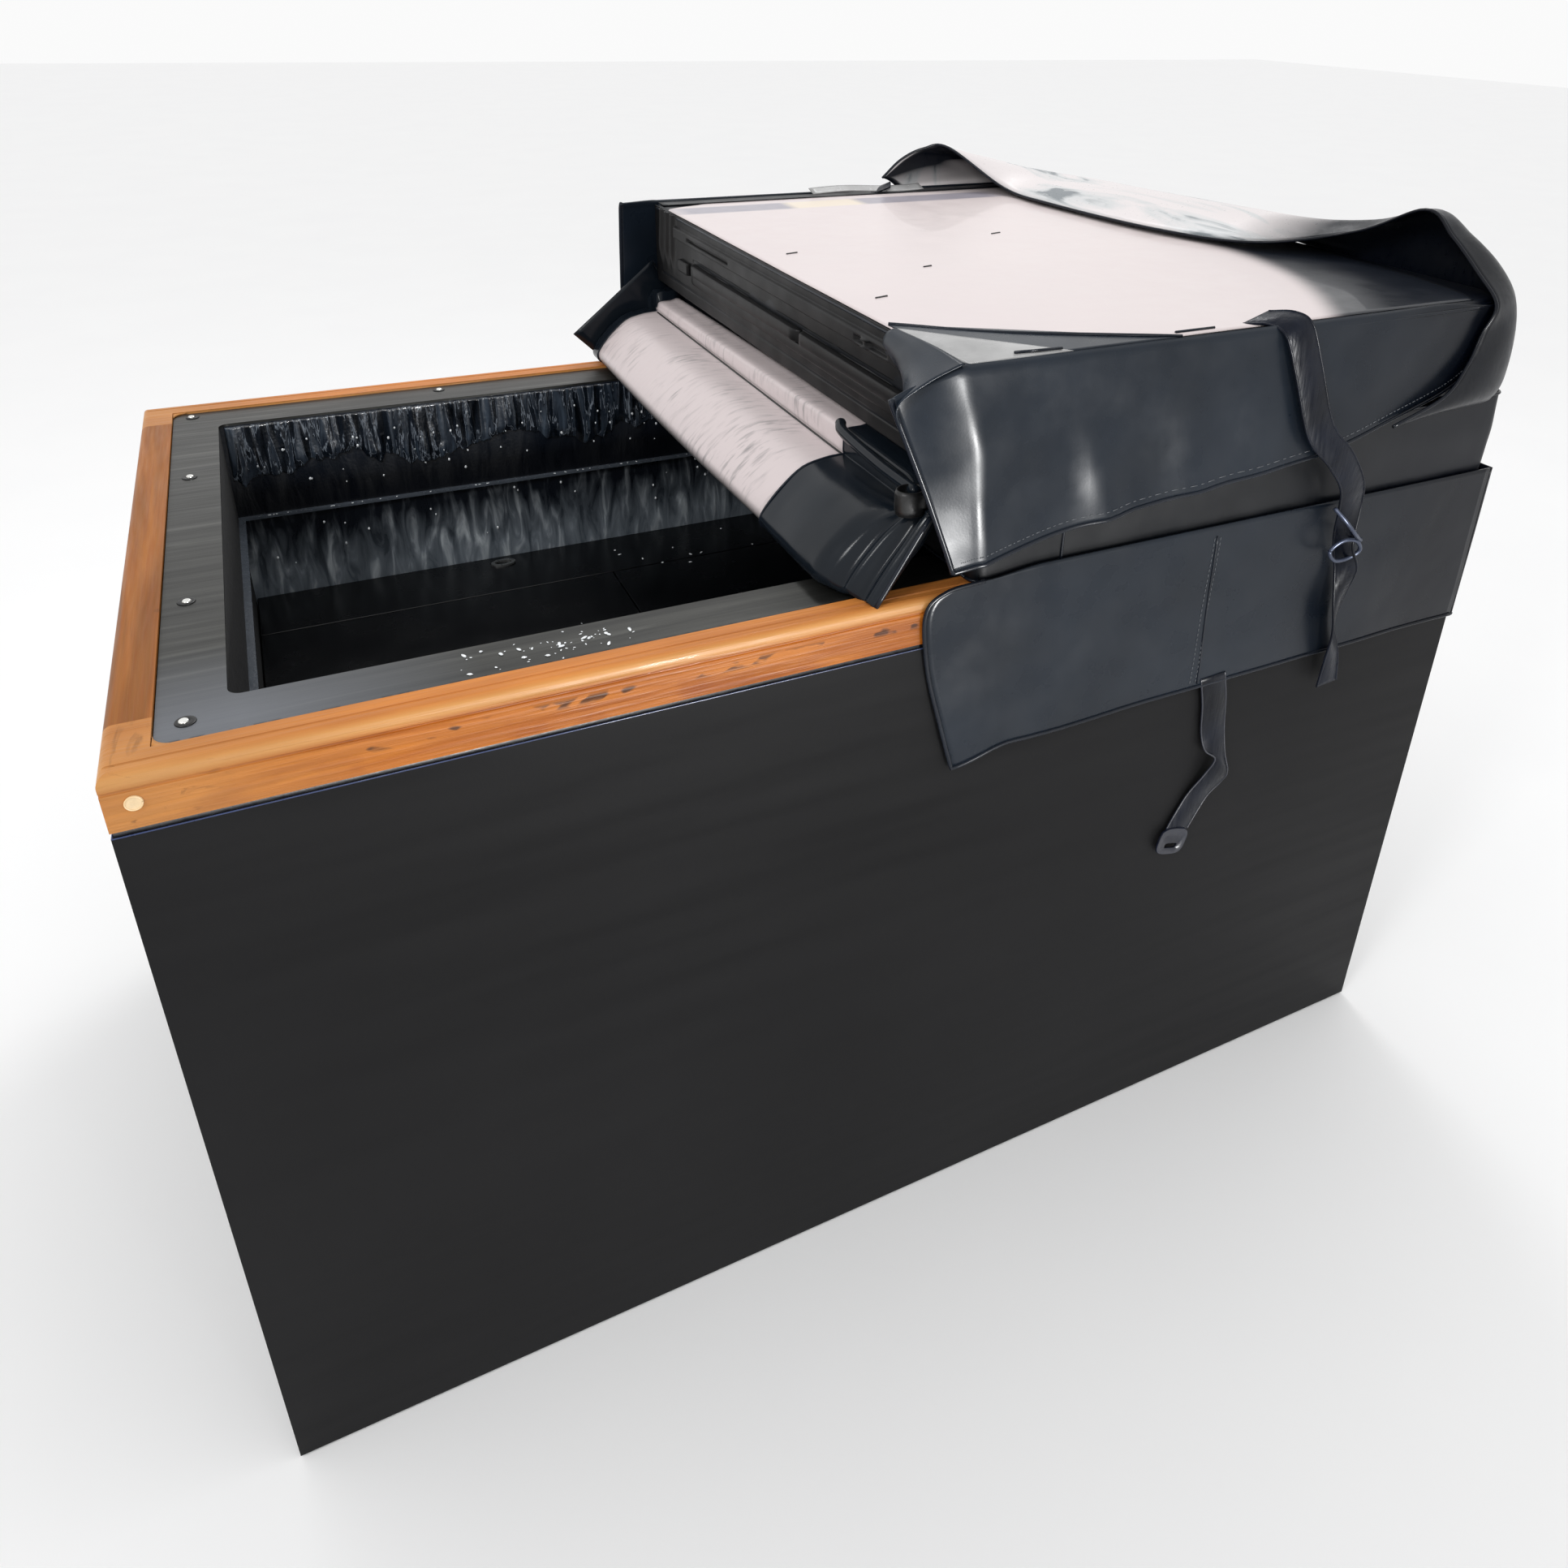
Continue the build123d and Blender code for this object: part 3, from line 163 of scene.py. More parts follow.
class Finish:
    """A procedural material, patterned in the object's own frame, in metres."""

    def __init__(self, name, roughness=0.5, metallic=0.0, coat=0.0, specular=0.5):
        self.material = bpy.data.materials.new(name)
        self.material.use_nodes = True
        self.tree = self.material.node_tree
        self.shader = self.tree.nodes["Principled BSDF"]
        self.shader.inputs["Roughness"].default_value = roughness
        self.shader.inputs["Metallic"].default_value = metallic
        self.shader.inputs["Coat Weight"].default_value = coat
        self.shader.inputs["Specular IOR Level"].default_value = specular
        self.place = self.tree.nodes.new("ShaderNodeTexCoord").outputs["Object"]

    def node(self, kind, **inputs):
        """A node with some inputs set, each to a value or to another node's output."""
        made = self.tree.nodes.new(kind)
        for key, value in inputs.items():
            self.plug(made.inputs[key], value)
        return made

    def plug(self, socket, value):
        """Set an input to a value, or link it to an output."""
        if isinstance(value, bpy.types.NodeSocket):
            self.tree.links.new(value, socket)
        elif isinstance(value, tuple) and len(value) == 3 and len(socket.default_value) == 4:
            socket.default_value = (*value, 1)
        else:
            socket.default_value = value

    def stretched(self, stretch):
        """The place, scaled along each axis."""
        return self.node("ShaderNodeMapping", Vector=self.place, Scale=stretch).outputs[0]

    def noise(self, scale, stretch=(1, 1, 1), detail=4.0, twist=0.0):
        """Soft noise from 0 to 1; scale counts its blobs in a metre."""
        made = self.node(
            "ShaderNodeTexNoise", Vector=self.stretched(stretch), Scale=float(scale), Detail=detail,
            Distortion=twist,
        )
        return made.outputs["Fac"]

    def axis(self, letter):
        """The place along X, Y or Z."""
        return self.node("ShaderNodeSeparateXYZ", Vector=self.place).outputs[letter]

    def math(self, operation, first, second=0.0):
        """One arithmetic step."""
        made = self.tree.nodes.new("ShaderNodeMath")
        made.operation = operation
        self.plug(made.inputs[0], first)
        self.plug(made.inputs[1], second)
        return made.outputs[0]

    def times(self, first, *others):
        """The product of factors."""
        for other in others:
            first = self.math("MULTIPLY", first, other)
        return first

    def between(self, value, start, end):
        """A node that goes from 0 to 1 as a value goes from a start to an end."""
        return self.node("ShaderNodeMapRange", **{"Value": value, "From Min": start, "From Max": end})

    def band(self, letter, low, high, soft):
        """1 between two places along an axis, fading to 0 over a soft edge."""
        at = self.axis(letter)
        rise = self.between(at, low - soft, low + soft)
        fall = self.between(at, high + soft, high - soft)
        return self.times(rise.outputs[0], fall.outputs[0])

    def ramp(self, factor, stops):
        """Colours or greys along a factor."""
        made = self.node("ShaderNodeValToRGB", Fac=factor)
        elements = made.color_ramp.elements
        while len(elements) < len(stops):
            elements.new(0.5)
        for element, (place, value) in zip(elements, stops):
            element.position = place
            element.color = (*value, 1) if isinstance(value, tuple) else (value, value, value, 1)
        return made.outputs["Color"]

    def mask(self, factor, low, high):
        """Black below a low factor, white above a high one."""
        return self.ramp(factor, [(low, 0.0), (high, 1.0)])

    def mix(self, factor, first, second):
        """Blend two colours."""
        made = self.tree.nodes.new("ShaderNodeMix")
        made.data_type = "RGBA"
        self.plug(made.inputs["Factor"], factor)
        for socket, value in zip([s for s in made.inputs if s.type == "RGBA"], (first, second)):
            self.plug(socket, value)
        return [s for s in made.outputs if s.type == "RGBA"][0]

    def cover(self, mask, strength, first, second):
        """Blend a second colour over a first one, by a mask at a strength."""
        return self.mix(self.times(mask, strength), first, second)

    def colour(self, value):
        """Set the base colour."""
        self.plug(self.shader.inputs["Base Color"], value)

    def rough(self, value):
        """Set the roughness."""
        self.plug(self.shader.inputs["Roughness"], value)

    def bump(self, *layers):
        """Relief from layers of (height, depth in metres)."""
        normal = None
        for height, depth in layers:
            made = self.node("ShaderNodeBump", Height=height, Distance=depth, Strength=0.9)
            if normal is not None:
                self.tree.links.new(normal, made.inputs["Normal"])
            normal = made.outputs["Normal"]
        self.tree.links.new(normal, self.shader.inputs["Normal"])


def painted_sheet(name, colour, roughness=0.42):
    """Powder-coated steel: fine orange peel and faint long marks."""
    finish = Finish(name, specular=0.06)
    cloud = finish.noise(2.2, detail=3)
    mark = finish.noise(5, (0.6, 1, 7), detail=6)
    low = tuple(value * 0.88 for value in colour)
    high = tuple(value * 1.15 for value in colour)
    finish.colour(finish.ramp(cloud, [(0.3, low), (0.7, high)]))
    finish.rough(finish.ramp(mark, [(0.35, roughness - 0.05), (0.7, roughness + 0.1)]))
    finish.bump((finish.noise(420, detail=2), 0.00006), (finish.noise(3), 0.0012))
    return finish.material


def timber(name, lengthwise):
    """Oiled softwood with its grain along X or Y, darker knots low on the face and worn pale corners; along
    X, painted shade on the top face and a painted highlight on its rounded edge.
    """
    finish = Finish(name, roughness=0.42, specular=0.16, coat=0.03)
    along = (1.0, 14, 14) if lengthwise == "X" else (14, 1.0, 14)
    fine = (3.0, 90, 90) if lengthwise == "X" else (90, 3.0, 90)
    honey, amber = tone(208, 124, 42), tone(168, 86, 14)
    if lengthwise == "Y":
        honey, amber = tone(160, 98, 38), tone(118, 70, 22)
    grain = finish.ramp(finish.noise(2.4, along, detail=7, twist=1.4), [(0.32, amber), (0.62, honey)])
    lines = finish.mask(finish.noise(3, fine, detail=3), 0.42, 0.62)
    body = finish.cover(lines, 0.28, grain, tone(132, 64, 14))
    if lengthwise == "X":
        blot = finish.mask(finish.noise(24, (0.55, 1, 1), detail=4), 0.50, 0.66)
        low = finish.band("Z", 0.783, 0.803, 0.006)
        body = finish.cover(finish.times(blot, low), 0.75, body, tone(150, 70, 20))
        # painted shade: the top face of the rail is darkened
        top = finish.band("Z", 0.8285, 0.9, 0.0015)
        body = finish.cover(top, 0.5, body, tone(180, 98, 36))
        # painted highlight: a bright band along the rounded top edge
        ridge_painted_highlight = finish.band("Z", 0.8195, 0.8290, 0.0025)
        body = finish.cover(ridge_painted_highlight, 0.55, body, tone(240, 186, 116))
        knot = finish.mask(finish.noise(60, (0.5, 1, 1), detail=2), 0.57, 0.61)
        rows = finish.times(knot, finish.band("Z", 0.802, 0.809, 0.002))
        body = finish.cover(rows, 0.85, body, tone(58, 28, 10))
        pale = finish.band("X", -0.8, -0.60, 0.09)
        rubbed = finish.noise(9, (0.6, 2, 2), detail=5)
        worn = finish.ramp(rubbed, [(0.3, tone(140, 92, 50)), (0.7, tone(196, 144, 86))])
        body = finish.cover(pale, 0.6, body, worn)
        check = finish.mask(finish.noise(16, (2.2, 0.5, 5), detail=5, twist=1.2), 0.60, 0.68)
        corner = finish.times(check, finish.band("X", -0.8, -0.655, 0.03))
        body = finish.cover(corner, 0.7, body, tone(96, 62, 34))
    chips = finish.mask(finish.noise(26, (0.5, 1, 3), detail=6), 0.70, 0.74)
    body = finish.cover(chips, 0.75, body, tone(62, 38, 20))
    finish.colour(body)
    finish.rough(finish.ramp(finish.noise(18, along), [(0.3, 0.34), (0.8, 0.55)]))
    finish.bump((lines, 0.00025), (finish.noise(3, along), 0.0006))
    return finish.material


def brushed_deck(name):
    """Dark brushed steel with pale streaks across it, a chipped front border and a painted reflection
    lightening the front left corner.
    """
    finish = Finish(name, metallic=0.75, specular=0.5)
    streak = finish.noise(4, (1.0, 26, 1), detail=6, twist=0.5)
    cloud = finish.noise(5, detail=3)
    greys = [(0.3, tone(50, 50, 48)), (0.60, tone(68, 68, 65)), (0.8, tone(104, 104, 100))]
    base = finish.ramp(streak, greys)
    body = finish.cover(cloud, 0.35, base, tone(50, 51, 52))
    # painted reflection: the front left corner is lightened
    corner_painted_reflection = finish.times(finish.band("X", -0.8, -0.53, 0.09), finish.band("Y", -0.5, -0.31, 0.06))
    body = finish.cover(corner_painted_reflection, 0.55, body, tone(138, 142, 150))
    edge = finish.band("Y", -0.40, -0.3905, 0.002)
    ragged = finish.mask(finish.noise(70, detail=5), 0.50, 0.56)
    body = finish.mix(finish.times(edge, ragged), body, tone(14, 12, 10))
    finish.colour(body)
    finish.rough(finish.ramp(finish.noise(9, (1, 30, 1)), [(0.3, 0.30), (0.75, 0.46)]))
    finish.bump((finish.noise(60, (1, 20, 1), detail=4), 0.00008), (finish.noise(2.5), 0.002))
    return finish.material


def glossy_liner(name, frosted):
    """Black moulded plastic; the back wall carries a grey bloom of frost below its ledge."""
    finish = Finish(name, specular=0.3)
    black = tone(9, 11, 15)
    if not frosted:
        finish.colour(finish.ramp(finish.noise(14, (1, 1, 0.4)), [(0.3, black), (0.8, tone(16, 19, 25))]))
        finish.rough(finish.ramp(finish.noise(20, (1, 1, 0.3)), [(0.3, 0.12), (0.8, 0.24)]))
        finish.bump((finish.noise(9, (1, 1, 0.35)), 0.0012),)
        return finish.material
    strand = finish.noise(70, (1, 1, 0.22), detail=8, twist=0.8)
    greys = [(0.34, tone(82, 90, 98)), (0.55, tone(116, 124, 132)), (0.74, tone(186, 193, 198))]
    bloom = finish.ramp(strand, greys)
    height = finish.between(finish.axis("Z"), LEDGE_Z - 0.02, FLOOR_Z).outputs[0]
    ragged = finish.times(finish.math("ADD", height, finish.math("SUBTRACT", strand, 0.5)), 1.25)
    lower = finish.mix(ragged, tone(17, 21, 28), bloom)
    upper = finish.mix(finish.band("Z", LEDGE_Z + 0.05, 0.9, 0.02), tone(9, 12, 18), tone(26, 32, 42))
    body = finish.mix(finish.band("Z", 0.3, LEDGE_Z, 0.002), upper, lower)
    finish.colour(body)
    finish.rough(finish.ramp(strand, [(0.3, 0.22), (0.7, 0.5)]))
    finish.bump((strand, 0.0016), (finish.noise(240, detail=2), 0.0003))
    return finish.material


def black_floor(name):
    """Near-black gloss plastic with dust in it."""
    finish = Finish(name, specular=0.45)
    dust = finish.mask(finish.noise(130, detail=5), 0.66, 0.76)
    finish.colour(finish.cover(dust, 0.25, tone(8, 9, 11), tone(60, 62, 66)))
    finish.rough(finish.ramp(finish.noise(12), [(0.3, 0.2), (0.8, 0.34)]))
    finish.bump((finish.noise(6), 0.001),)
    return finish.material


def vinyl(name, colour, gloss=0.30, grain=1.0):
    """Coated vinyl: soft undulation, a very fine grain and uneven gloss; painted shade darkens it towards the
    right end.
    """
    finish = Finish(name, specular=0.22)
    cloud = finish.noise(7, detail=4)
    darker = tuple(value * 0.78 for value in colour)
    lighter = tuple(value * 1.25 for value in colour)
    body = finish.ramp(cloud, [(0.3, darker), (0.7, lighter)])
    # painted shade: the colour darkens to deep navy from x 0.34 to 0.64, towards the right end
    far = finish.between(finish.axis("X"), 0.34, 0.64)
    finish.colour(finish.mix(far.outputs[0], body, tone(5, 9, 19)))
    finish.rough(finish.ramp(finish.noise(24, detail=4), [(0.25, gloss - 0.04), (0.8, gloss + 0.12)]))
    finish.bump((finish.noise(500, detail=2), 0.00003 * grain), (finish.noise(6, detail=3), 0.0035))
    return finish.material


def white_sleeve(name):
    """White vinyl, scuffed grey in short diagonal strokes and darker grey along its lower edge."""
    finish = Finish(name, specular=0.45)
    slanted = finish.node("ShaderNodeMapping", Vector=finish.place, Rotation=(0.5, 0.35, 0.6)).outputs[0]
    stroke = finish.node(
        "ShaderNodeTexNoise",
        Vector=finish.node("ShaderNodeMapping", Vector=slanted, Scale=(1, 5, 1)).outputs[0],
        Scale=34.0,
        Detail=8.0,
    ).outputs["Fac"]
    soiled = finish.noise(11, detail=3)
    strokes = finish.mask(stroke, 0.50, 0.70)
    dirt = finish.times(strokes, finish.mask(soiled, 0.38, 0.62))
    body = finish.cover(dirt, 0.62, tone(212, 200, 200), tone(104, 104, 106))
    # darker grey band along the lower edge of the roll
    worn = finish.band("Z", 0.80, 0.846, 0.006)
    body = finish.cover(worn, 0.9, body, tone(58, 60, 58))
    finish.colour(body)
    finish.rough(finish.ramp(stroke, [(0.3, 0.32), (0.8, 0.5)]))
    finish.bump((stroke, 0.0003), (finish.noise(14), 0.0025))
    return finish.material


def film(name):
    """White film with a faint blush and a dull grey band near its back edge, dark past its right edge."""
    finish = Finish(name, specular=0.4, coat=0.15)
    blush = finish.ramp(finish.noise(2.5, detail=3), [(0.3, tone(208, 196, 196)), (0.7, tone(214, 203, 202))])
    band = finish.times(finish.band("Y", 0.325, 0.372, 0.004), finish.band("X", -0.02, 0.50, 0.02))
    gap = finish.band("X", 0.150, 0.262, 0.008)
    grey = finish.mix(gap, tone(138, 135, 148), tone(222, 208, 186))
    white = finish.cover(band, 0.85, blush, grey)
    front = finish.math("MAXIMUM", finish.math("SUBTRACT", -0.10, finish.axis("Y")), 0.0)
    bow = finish.times(finish.times(front, front), 1.35)
    past = finish.math("SUBTRACT", finish.math("ADD", finish.axis("X"), bow), 0.548)
    fade = finish.between(past, -0.022, 0.030)
    fade.interpolation_type = "SMOOTHERSTEP"
    finish.colour(finish.mix(fade.outputs[0], white, tone(20, 25, 34)))
    finish.rough(finish.ramp(finish.noise(30), [(0.3, 0.28), (0.8, 0.42)]))
    finish.bump((finish.noise(9), 0.0012),)
    return finish.material


def curl_sheet(name):
    """Vinyl with a painted reflection: its upward-facing crest is coloured pale grey with darker smears, and
    it is dark towards the front.
    """
    finish = Finish(name, specular=0.2)
    dark = finish.ramp(finish.noise(7), [(0.3, tone(5, 8, 15)), (0.7, tone(13, 18, 28))])
    smear = finish.noise(9, (1.4, 0.35, 1), detail=7, twist=1.6)
    greys = [(0.36, tone(120, 126, 130)), (0.42, tone(192, 194, 195)), (0.52, tone(212, 206, 206))]
    pale = finish.ramp(smear, greys)
    # painted reflection: faces turned upward on the crest are coloured pale grey with darker smears
    normal = finish.tree.nodes.new("ShaderNodeNewGeometry").outputs["Normal"]
    upward = finish.node("ShaderNodeSeparateXYZ", Vector=normal).outputs["Z"]
    facing = finish.between(upward, 0.0, 0.35).outputs[0]
    crest_painted_reflection = finish.times(facing, finish.band("Y", -0.130, 0.60, 0.05))
    left = finish.band("X", 0.2, 0.690, 0.010)
    finish.colour(finish.mix(finish.times(crest_painted_reflection, left), dark, pale))
    finish.rough(finish.ramp(finish.noise(200, (1, 1, 0.4)), [(0.3, 0.26), (0.8, 0.44)]))
    finish.bump((finish.noise(26), 0.0008), (finish.noise(5), 0.003))
    return finish.material


def frost(name):
    """Frozen film: blue-grey strands with pale outlines over black."""
    finish = Finish(name, specular=0.6, coat=0.35)
    strand = finish.noise(105, (1, 1, 0.12), detail=8, twist=0.6)
    outline = finish.ramp(strand, [(0.485, 0.0), (0.50, 1.0), (0.515, 0.0)])
    body = finish.ramp(strand, [(0.34, tone(6, 9, 14)), (0.52, tone(26, 34, 45)), (0.72, tone(66, 78, 92))])
    finish.colour(finish.cover(outline, 0.75, body, tone(160, 170, 182)))
    finish.rough(finish.ramp(strand, [(0.3, 0.14), (0.7, 0.36)]))
    finish.bump((strand, 0.0014), (finish.noise(220), 0.0004))
    return finish.material


def plain_surface(name, colour, roughness, metallic=0.0, scale=40, depth=0.0002, spread=0.12):
    """A moulded, cast or drawn surface with slight variation of tone and gloss."""
    finish = Finish(name, metallic=metallic)
    low = tuple(value * (1 - spread) for value in colour)
    high = tuple(min(1.0, value * (1 + spread)) for value in colour)
    finish.colour(finish.ramp(finish.noise(scale), [(0.3, low), (0.7, high)]))
    gloss = [(0.3, roughness * 0.85), (0.7, min(1, roughness * 1.2))]
    finish.rough(finish.ramp(finish.noise(scale * 3), gloss))
    finish.bump((finish.noise(scale * 8, detail=2), depth),)
    return finish.material


def webbing(name):
    """Glossy coated webbing with a fine lengthwise rib."""
    finish = Finish(name, specular=0.14)
    rib = finish.noise(260, (1, 1, 0.12), detail=2)
    finish.colour(finish.ramp(finish.noise(20, detail=5), [(0.3, tone(9, 12, 20)), (0.7, tone(20, 26, 40))]))
    finish.rough(finish.ramp(rib, [(0.3, 0.24), (0.7, 0.42)]))
    finish.bump((rib, 0.0004), (finish.noise(30), 0.001))
    return finish.material


# ---------------------------------------------------------------- mesh tools


def smooth_step(value, low, high):
    """0 below low, 1 above high, and a smooth rise between."""
    share = min(1.0, max(0.0, (value - low) / (high - low)))
    return share * share * (3 - 2 * share)


def rounded(value, power):
    """A sine or cosine raised to a power with its sign kept, for a circle that bulges to a rounded box."""
    return math.copysign(abs(value) ** power, value)


def hump(value, centre, width):
    """A soft bump of height 1 around a centre."""
    return math.exp(-(((value - centre) / width) ** 2))


def plateau(value, low, high, soft):
    """1 between low and high, fading to 0 over a soft edge."""
    rise = smooth_step(value, low - soft, low + soft)
    return rise * (1 - smooth_step(value, high - soft, high + soft))


def ripple(x, y, z, scale):
    """Smooth noise from -1 to 1, with about scale waves in a metre."""
    return noise.noise(Vector((x, y, z)) * scale)


def add_mesh(name, points, faces, finish):
    """A smoothly shaded mesh object from points and faces."""
    mesh = bpy.data.meshes.new(name)
    mesh.from_pydata([tuple(point) for point in points], [], faces)
    mesh.validate()
    mesh.materials.append(finish)
    mesh.polygons.foreach_set("use_smooth", [True] * len(mesh.polygons))
    mesh.update()
    piece = bpy.data.objects.new(name, mesh)
    scene.collection.objects.link(piece)
    return piece


def curved(points, steps):
    """Points along the smooth curve through control points, steps to each span."""
    points = [Vector(point) for point in points]
    ends = [2 * points[0] - points[1], *points, 2 * points[-1] - points[-2]]
    made = []
    for index in range(len(points) - 1):
        a, b, c, d = ends[index : index + 4]
        for step in range(steps):
            t = step / steps
            square, cube = 2 * a - 5 * b + 4 * c - d, 3 * b - a - 3 * c + d
            made.append(0.5 * (2 * b + (c - a) * t + square * t**2 + cube * t**3))
    return [*made, points[-1].copy()]


def closed_curve(points, steps):
    """Points round the smooth closed curve through control points."""
    points = [Vector(point) for point in points]
    wrapped = [points[-1], *points, points[0], points[1]]
    return curved(wrapped, steps)[steps : -steps - 1]


def patch(rows, steps_across, steps_along):
    """A grid of points on the smooth surface through rows of control points."""
    smooth_rows = [curved(row, steps_across) for row in rows]
    columns = [curved(column, steps_along) for column in zip(*smooth_rows)]
    return [list(row) for row in zip(*columns)]


def grid_faces(rows, columns):
    """Quads between the points of a grid."""
    faces = []
    for row in range(rows - 1):
        for column in range(columns - 1):
            corner = row * columns + column
            faces.append((corner, corner + 1, corner + columns + 1, corner + columns))
    return faces


def apply_modifiers(piece):
    """Keep a piece's evaluated mesh and drop its modifiers."""
    bpy.context.view_layer.update()
    shaped = piece.evaluated_get(bpy.context.evaluated_depsgraph_get())
    mesh = bpy.data.meshes.new_from_object(shaped)
    old = piece.data
    piece.modifiers.clear()
    piece.data = mesh
    mesh.name = piece.name
    bpy.data.meshes.remove(old)


def add_sheet(name, grid, thickness, finish):
    """A thin closed sheet on a grid of points."""
    points = [point for row in grid for point in row]
    piece = add_mesh(name, points, grid_faces(len(grid), len(grid[0])), finish)
    solid = piece.modifiers.new("thickness", "SOLIDIFY")
    solid.thickness = thickness
    solid.offset = 0
    apply_modifiers(piece)
    return piece


def ring_faces(rings, sides, base=0, wrap=False):
    """Quads between rings of points from a base on; wrap joins the last ring to the first."""
    faces = []
    for ring in range(rings if wrap else rings - 1):
        here, there = base + ring * sides, base + (ring + 1) % rings * sides
        for side in range(sides):
            after = (side + 1) % sides
            faces.append((here + side, here + after, there + after, there + side))
    return faces


def add_lofts(name, lofts, finish, closed_ends=True):
    """One piece of several skins, each over its own rings of points."""
    points, faces = [], []
    for rings in lofts:
        sides, base = len(rings[0]), len(points)
        points += [point for ring in rings for point in ring]
        faces += ring_faces(len(rings), sides, base)
        if closed_ends:
            faces.append(tuple(reversed(range(base, base + sides))))
            faces.append(tuple(range(len(points) - sides, len(points))))
    return add_mesh(name, points, faces, finish)


def add_loft(name, rings, finish, closed_ends=True):
    """A skin over rings of points."""
    return add_lofts(name, [rings], finish, closed_ends)


def tube_rings(points, radius, sides=10):
    """Rings of a round tube along points."""
    points = [Vector(point) for point in points]
    rings = []
    across = None
    for index, point in enumerate(points):
        ahead = points[min(index + 1, len(points) - 1)] - points[max(index - 1, 0)]
        ahead.normalize()
        if across is None:
            across = ahead.orthogonal().normalized()
        across = (across - ahead * across.dot(ahead)).normalized()
        other = ahead.cross(across)
        turns = [2 * math.pi * side / sides for side in range(sides)]
        rings.append([point + radius * (math.cos(t) * across + math.sin(t) * other) for t in turns])
    return rings


def add_tube(name, points, radius, finish, sides=10):
    """A round tube with closed ends."""
    return add_loft(name, tube_rings(points, radius, sides), finish)


def add_tubes(name, paths, radius, finish, sides=8):
    """Several round tubes in one piece."""
    return add_lofts(name, [tube_rings(path, radius, sides) for path in paths], finish)


def add_ribbon(name, stations, thickness, finish, steps=8):
    """A flat strap through stations of (centre, half-width vector), with rounded edges."""
    centres = curved([centre for centre, _ in stations], steps)
    halves = curved([half for _, half in stations], steps)
    rings = []
    for index, (centre, half) in enumerate(zip(centres, halves)):
        ahead = centres[min(index + 1, len(centres) - 1)] - centres[max(index - 1, 0)]
        lift = ahead.cross(half).normalized() * thickness / 2
        shoulder = 0.94
        rings.append([
            centre + half + lift * 0.3, centre + half * shoulder + lift, centre - half * shoulder + lift,
            centre - half + lift * 0.3, centre - half - lift * 0.3, centre - half * shoulder - lift,
            centre + half * shoulder - lift, centre + half - lift * 0.3,
        ])
    return add_loft(name, rings, finish)


def add_ribbon_edges(name, stations, radius, finish, steps=8):
    """Thin rolled edges along both sides of a strap."""
    centres = curved([centre for centre, _ in stations], steps)
    halves = curved([half for _, half in stations], steps)
    edges = [[centre + sign * half for centre, half in zip(centres, halves)] for sign in (-1, 1)]
    return add_tubes(name, edges, radius, finish)


def place(piece, body, slot, *nodes):
    """Ride a body and replace CAD nodes; the slot is not used."""
    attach(piece, body)
    if nodes:
        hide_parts(*nodes)
    return piece


def squeeze(piece):
    """Give a soft piece its own copy of its mesh."""
    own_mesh(piece)


def corners(low, high):
    """The four corners of a box from above, each with its inward directions along X and Y."""
    return (low.x, low.y, 1, 1), (high.x, low.y, -1, 1), (high.x, high.y, -1, -1), (low.x, high.y, 1, -1)


ARC_STEPS = 8


def perimeter(low, high, left, right, step=0.012):
    """Points and outward directions round a rectangle whose left and right corners have their own radius."""
    made = []
    turns = [(-1, -1, 180), (1, -1, 270), (1, 1, 0), (-1, 1, 90)]
    arcs = []
    for side, depth, start in turns:
        radius = right if side > 0 else left
        centre = Vector((
            high.x - radius if side > 0 else low.x + radius, high.y - radius if depth > 0 else low.y + radius,
        ))
        angles = [math.radians(start + 90 * n / ARC_STEPS) for n in range(ARC_STEPS + 1)]
        outward = [Vector((math.cos(angle), math.sin(angle))) for angle in angles]
        arcs.append([(centre + radius * way, way) for way in outward])
    for arc, following in zip(arcs, arcs[1:] + arcs[:1]):
        (begin, outward), (end, _) = arc[-1], following[0]
        count = max(2, int((end - begin).length / step))
        made += arc + [(begin.lerp(end, n / count), outward) for n in range(1, count)]
    return made


def add_padded_slab(name, low, high, corners, edge, bulge, finish):
    """A foam panel in a tight vinyl cover: rounded edges, sides that swell a little, small puckers."""
    ring_points = perimeter(low, high, *corners)
    height = high.z - low.z
    profile = []
    for step in range(7):
        angle = math.radians(90 * step / 6)
        profile.append((edge * (1 - math.sin(angle)), low.z + edge * (1 - math.cos(angle))))
    for step in range(1, 12):
        profile.append((0.0, low.z + edge + (height - 2 * edge) * step / 12))
    for step in range(7):
        angle = math.radians(90 * step / 6)
        profile.append((edge * (1 - math.cos(angle)), high.z - edge * (1 - math.sin(angle))))
    middle = (low.xy + high.xy) / 2

    def inward(z, share):
        return [Vector((*point.lerp(middle, share), z)) for point, _ in ring_points]

    rings = [inward(low.z, share) for share in (0.92, 0.5, 0.12)]
    for inset, z in profile:
        share = (z - low.z) / height
        ring = []
        for point, outward in ring_points:
            swell = bulge * math.sin(math.pi * share)
            pucker = 0.0012 * ripple(point.x, point.y, z * 2.5, 9) + 0.0006 * ripple(point.x, point.y, z, 34)
            out = swell + pucker * math.sin(math.pi * share) - inset
            ring.append(Vector((point.x + outward.x * out, point.y + outward.y * out, z)))
        rings.append(ring)
    rings += [inward(high.z, share) for share in (0.12, 0.5, 0.92)]
    return add_loft(name, rings, finish)


# ---------------------------------------------------------------- cabinet: finishes of the CAD nodes


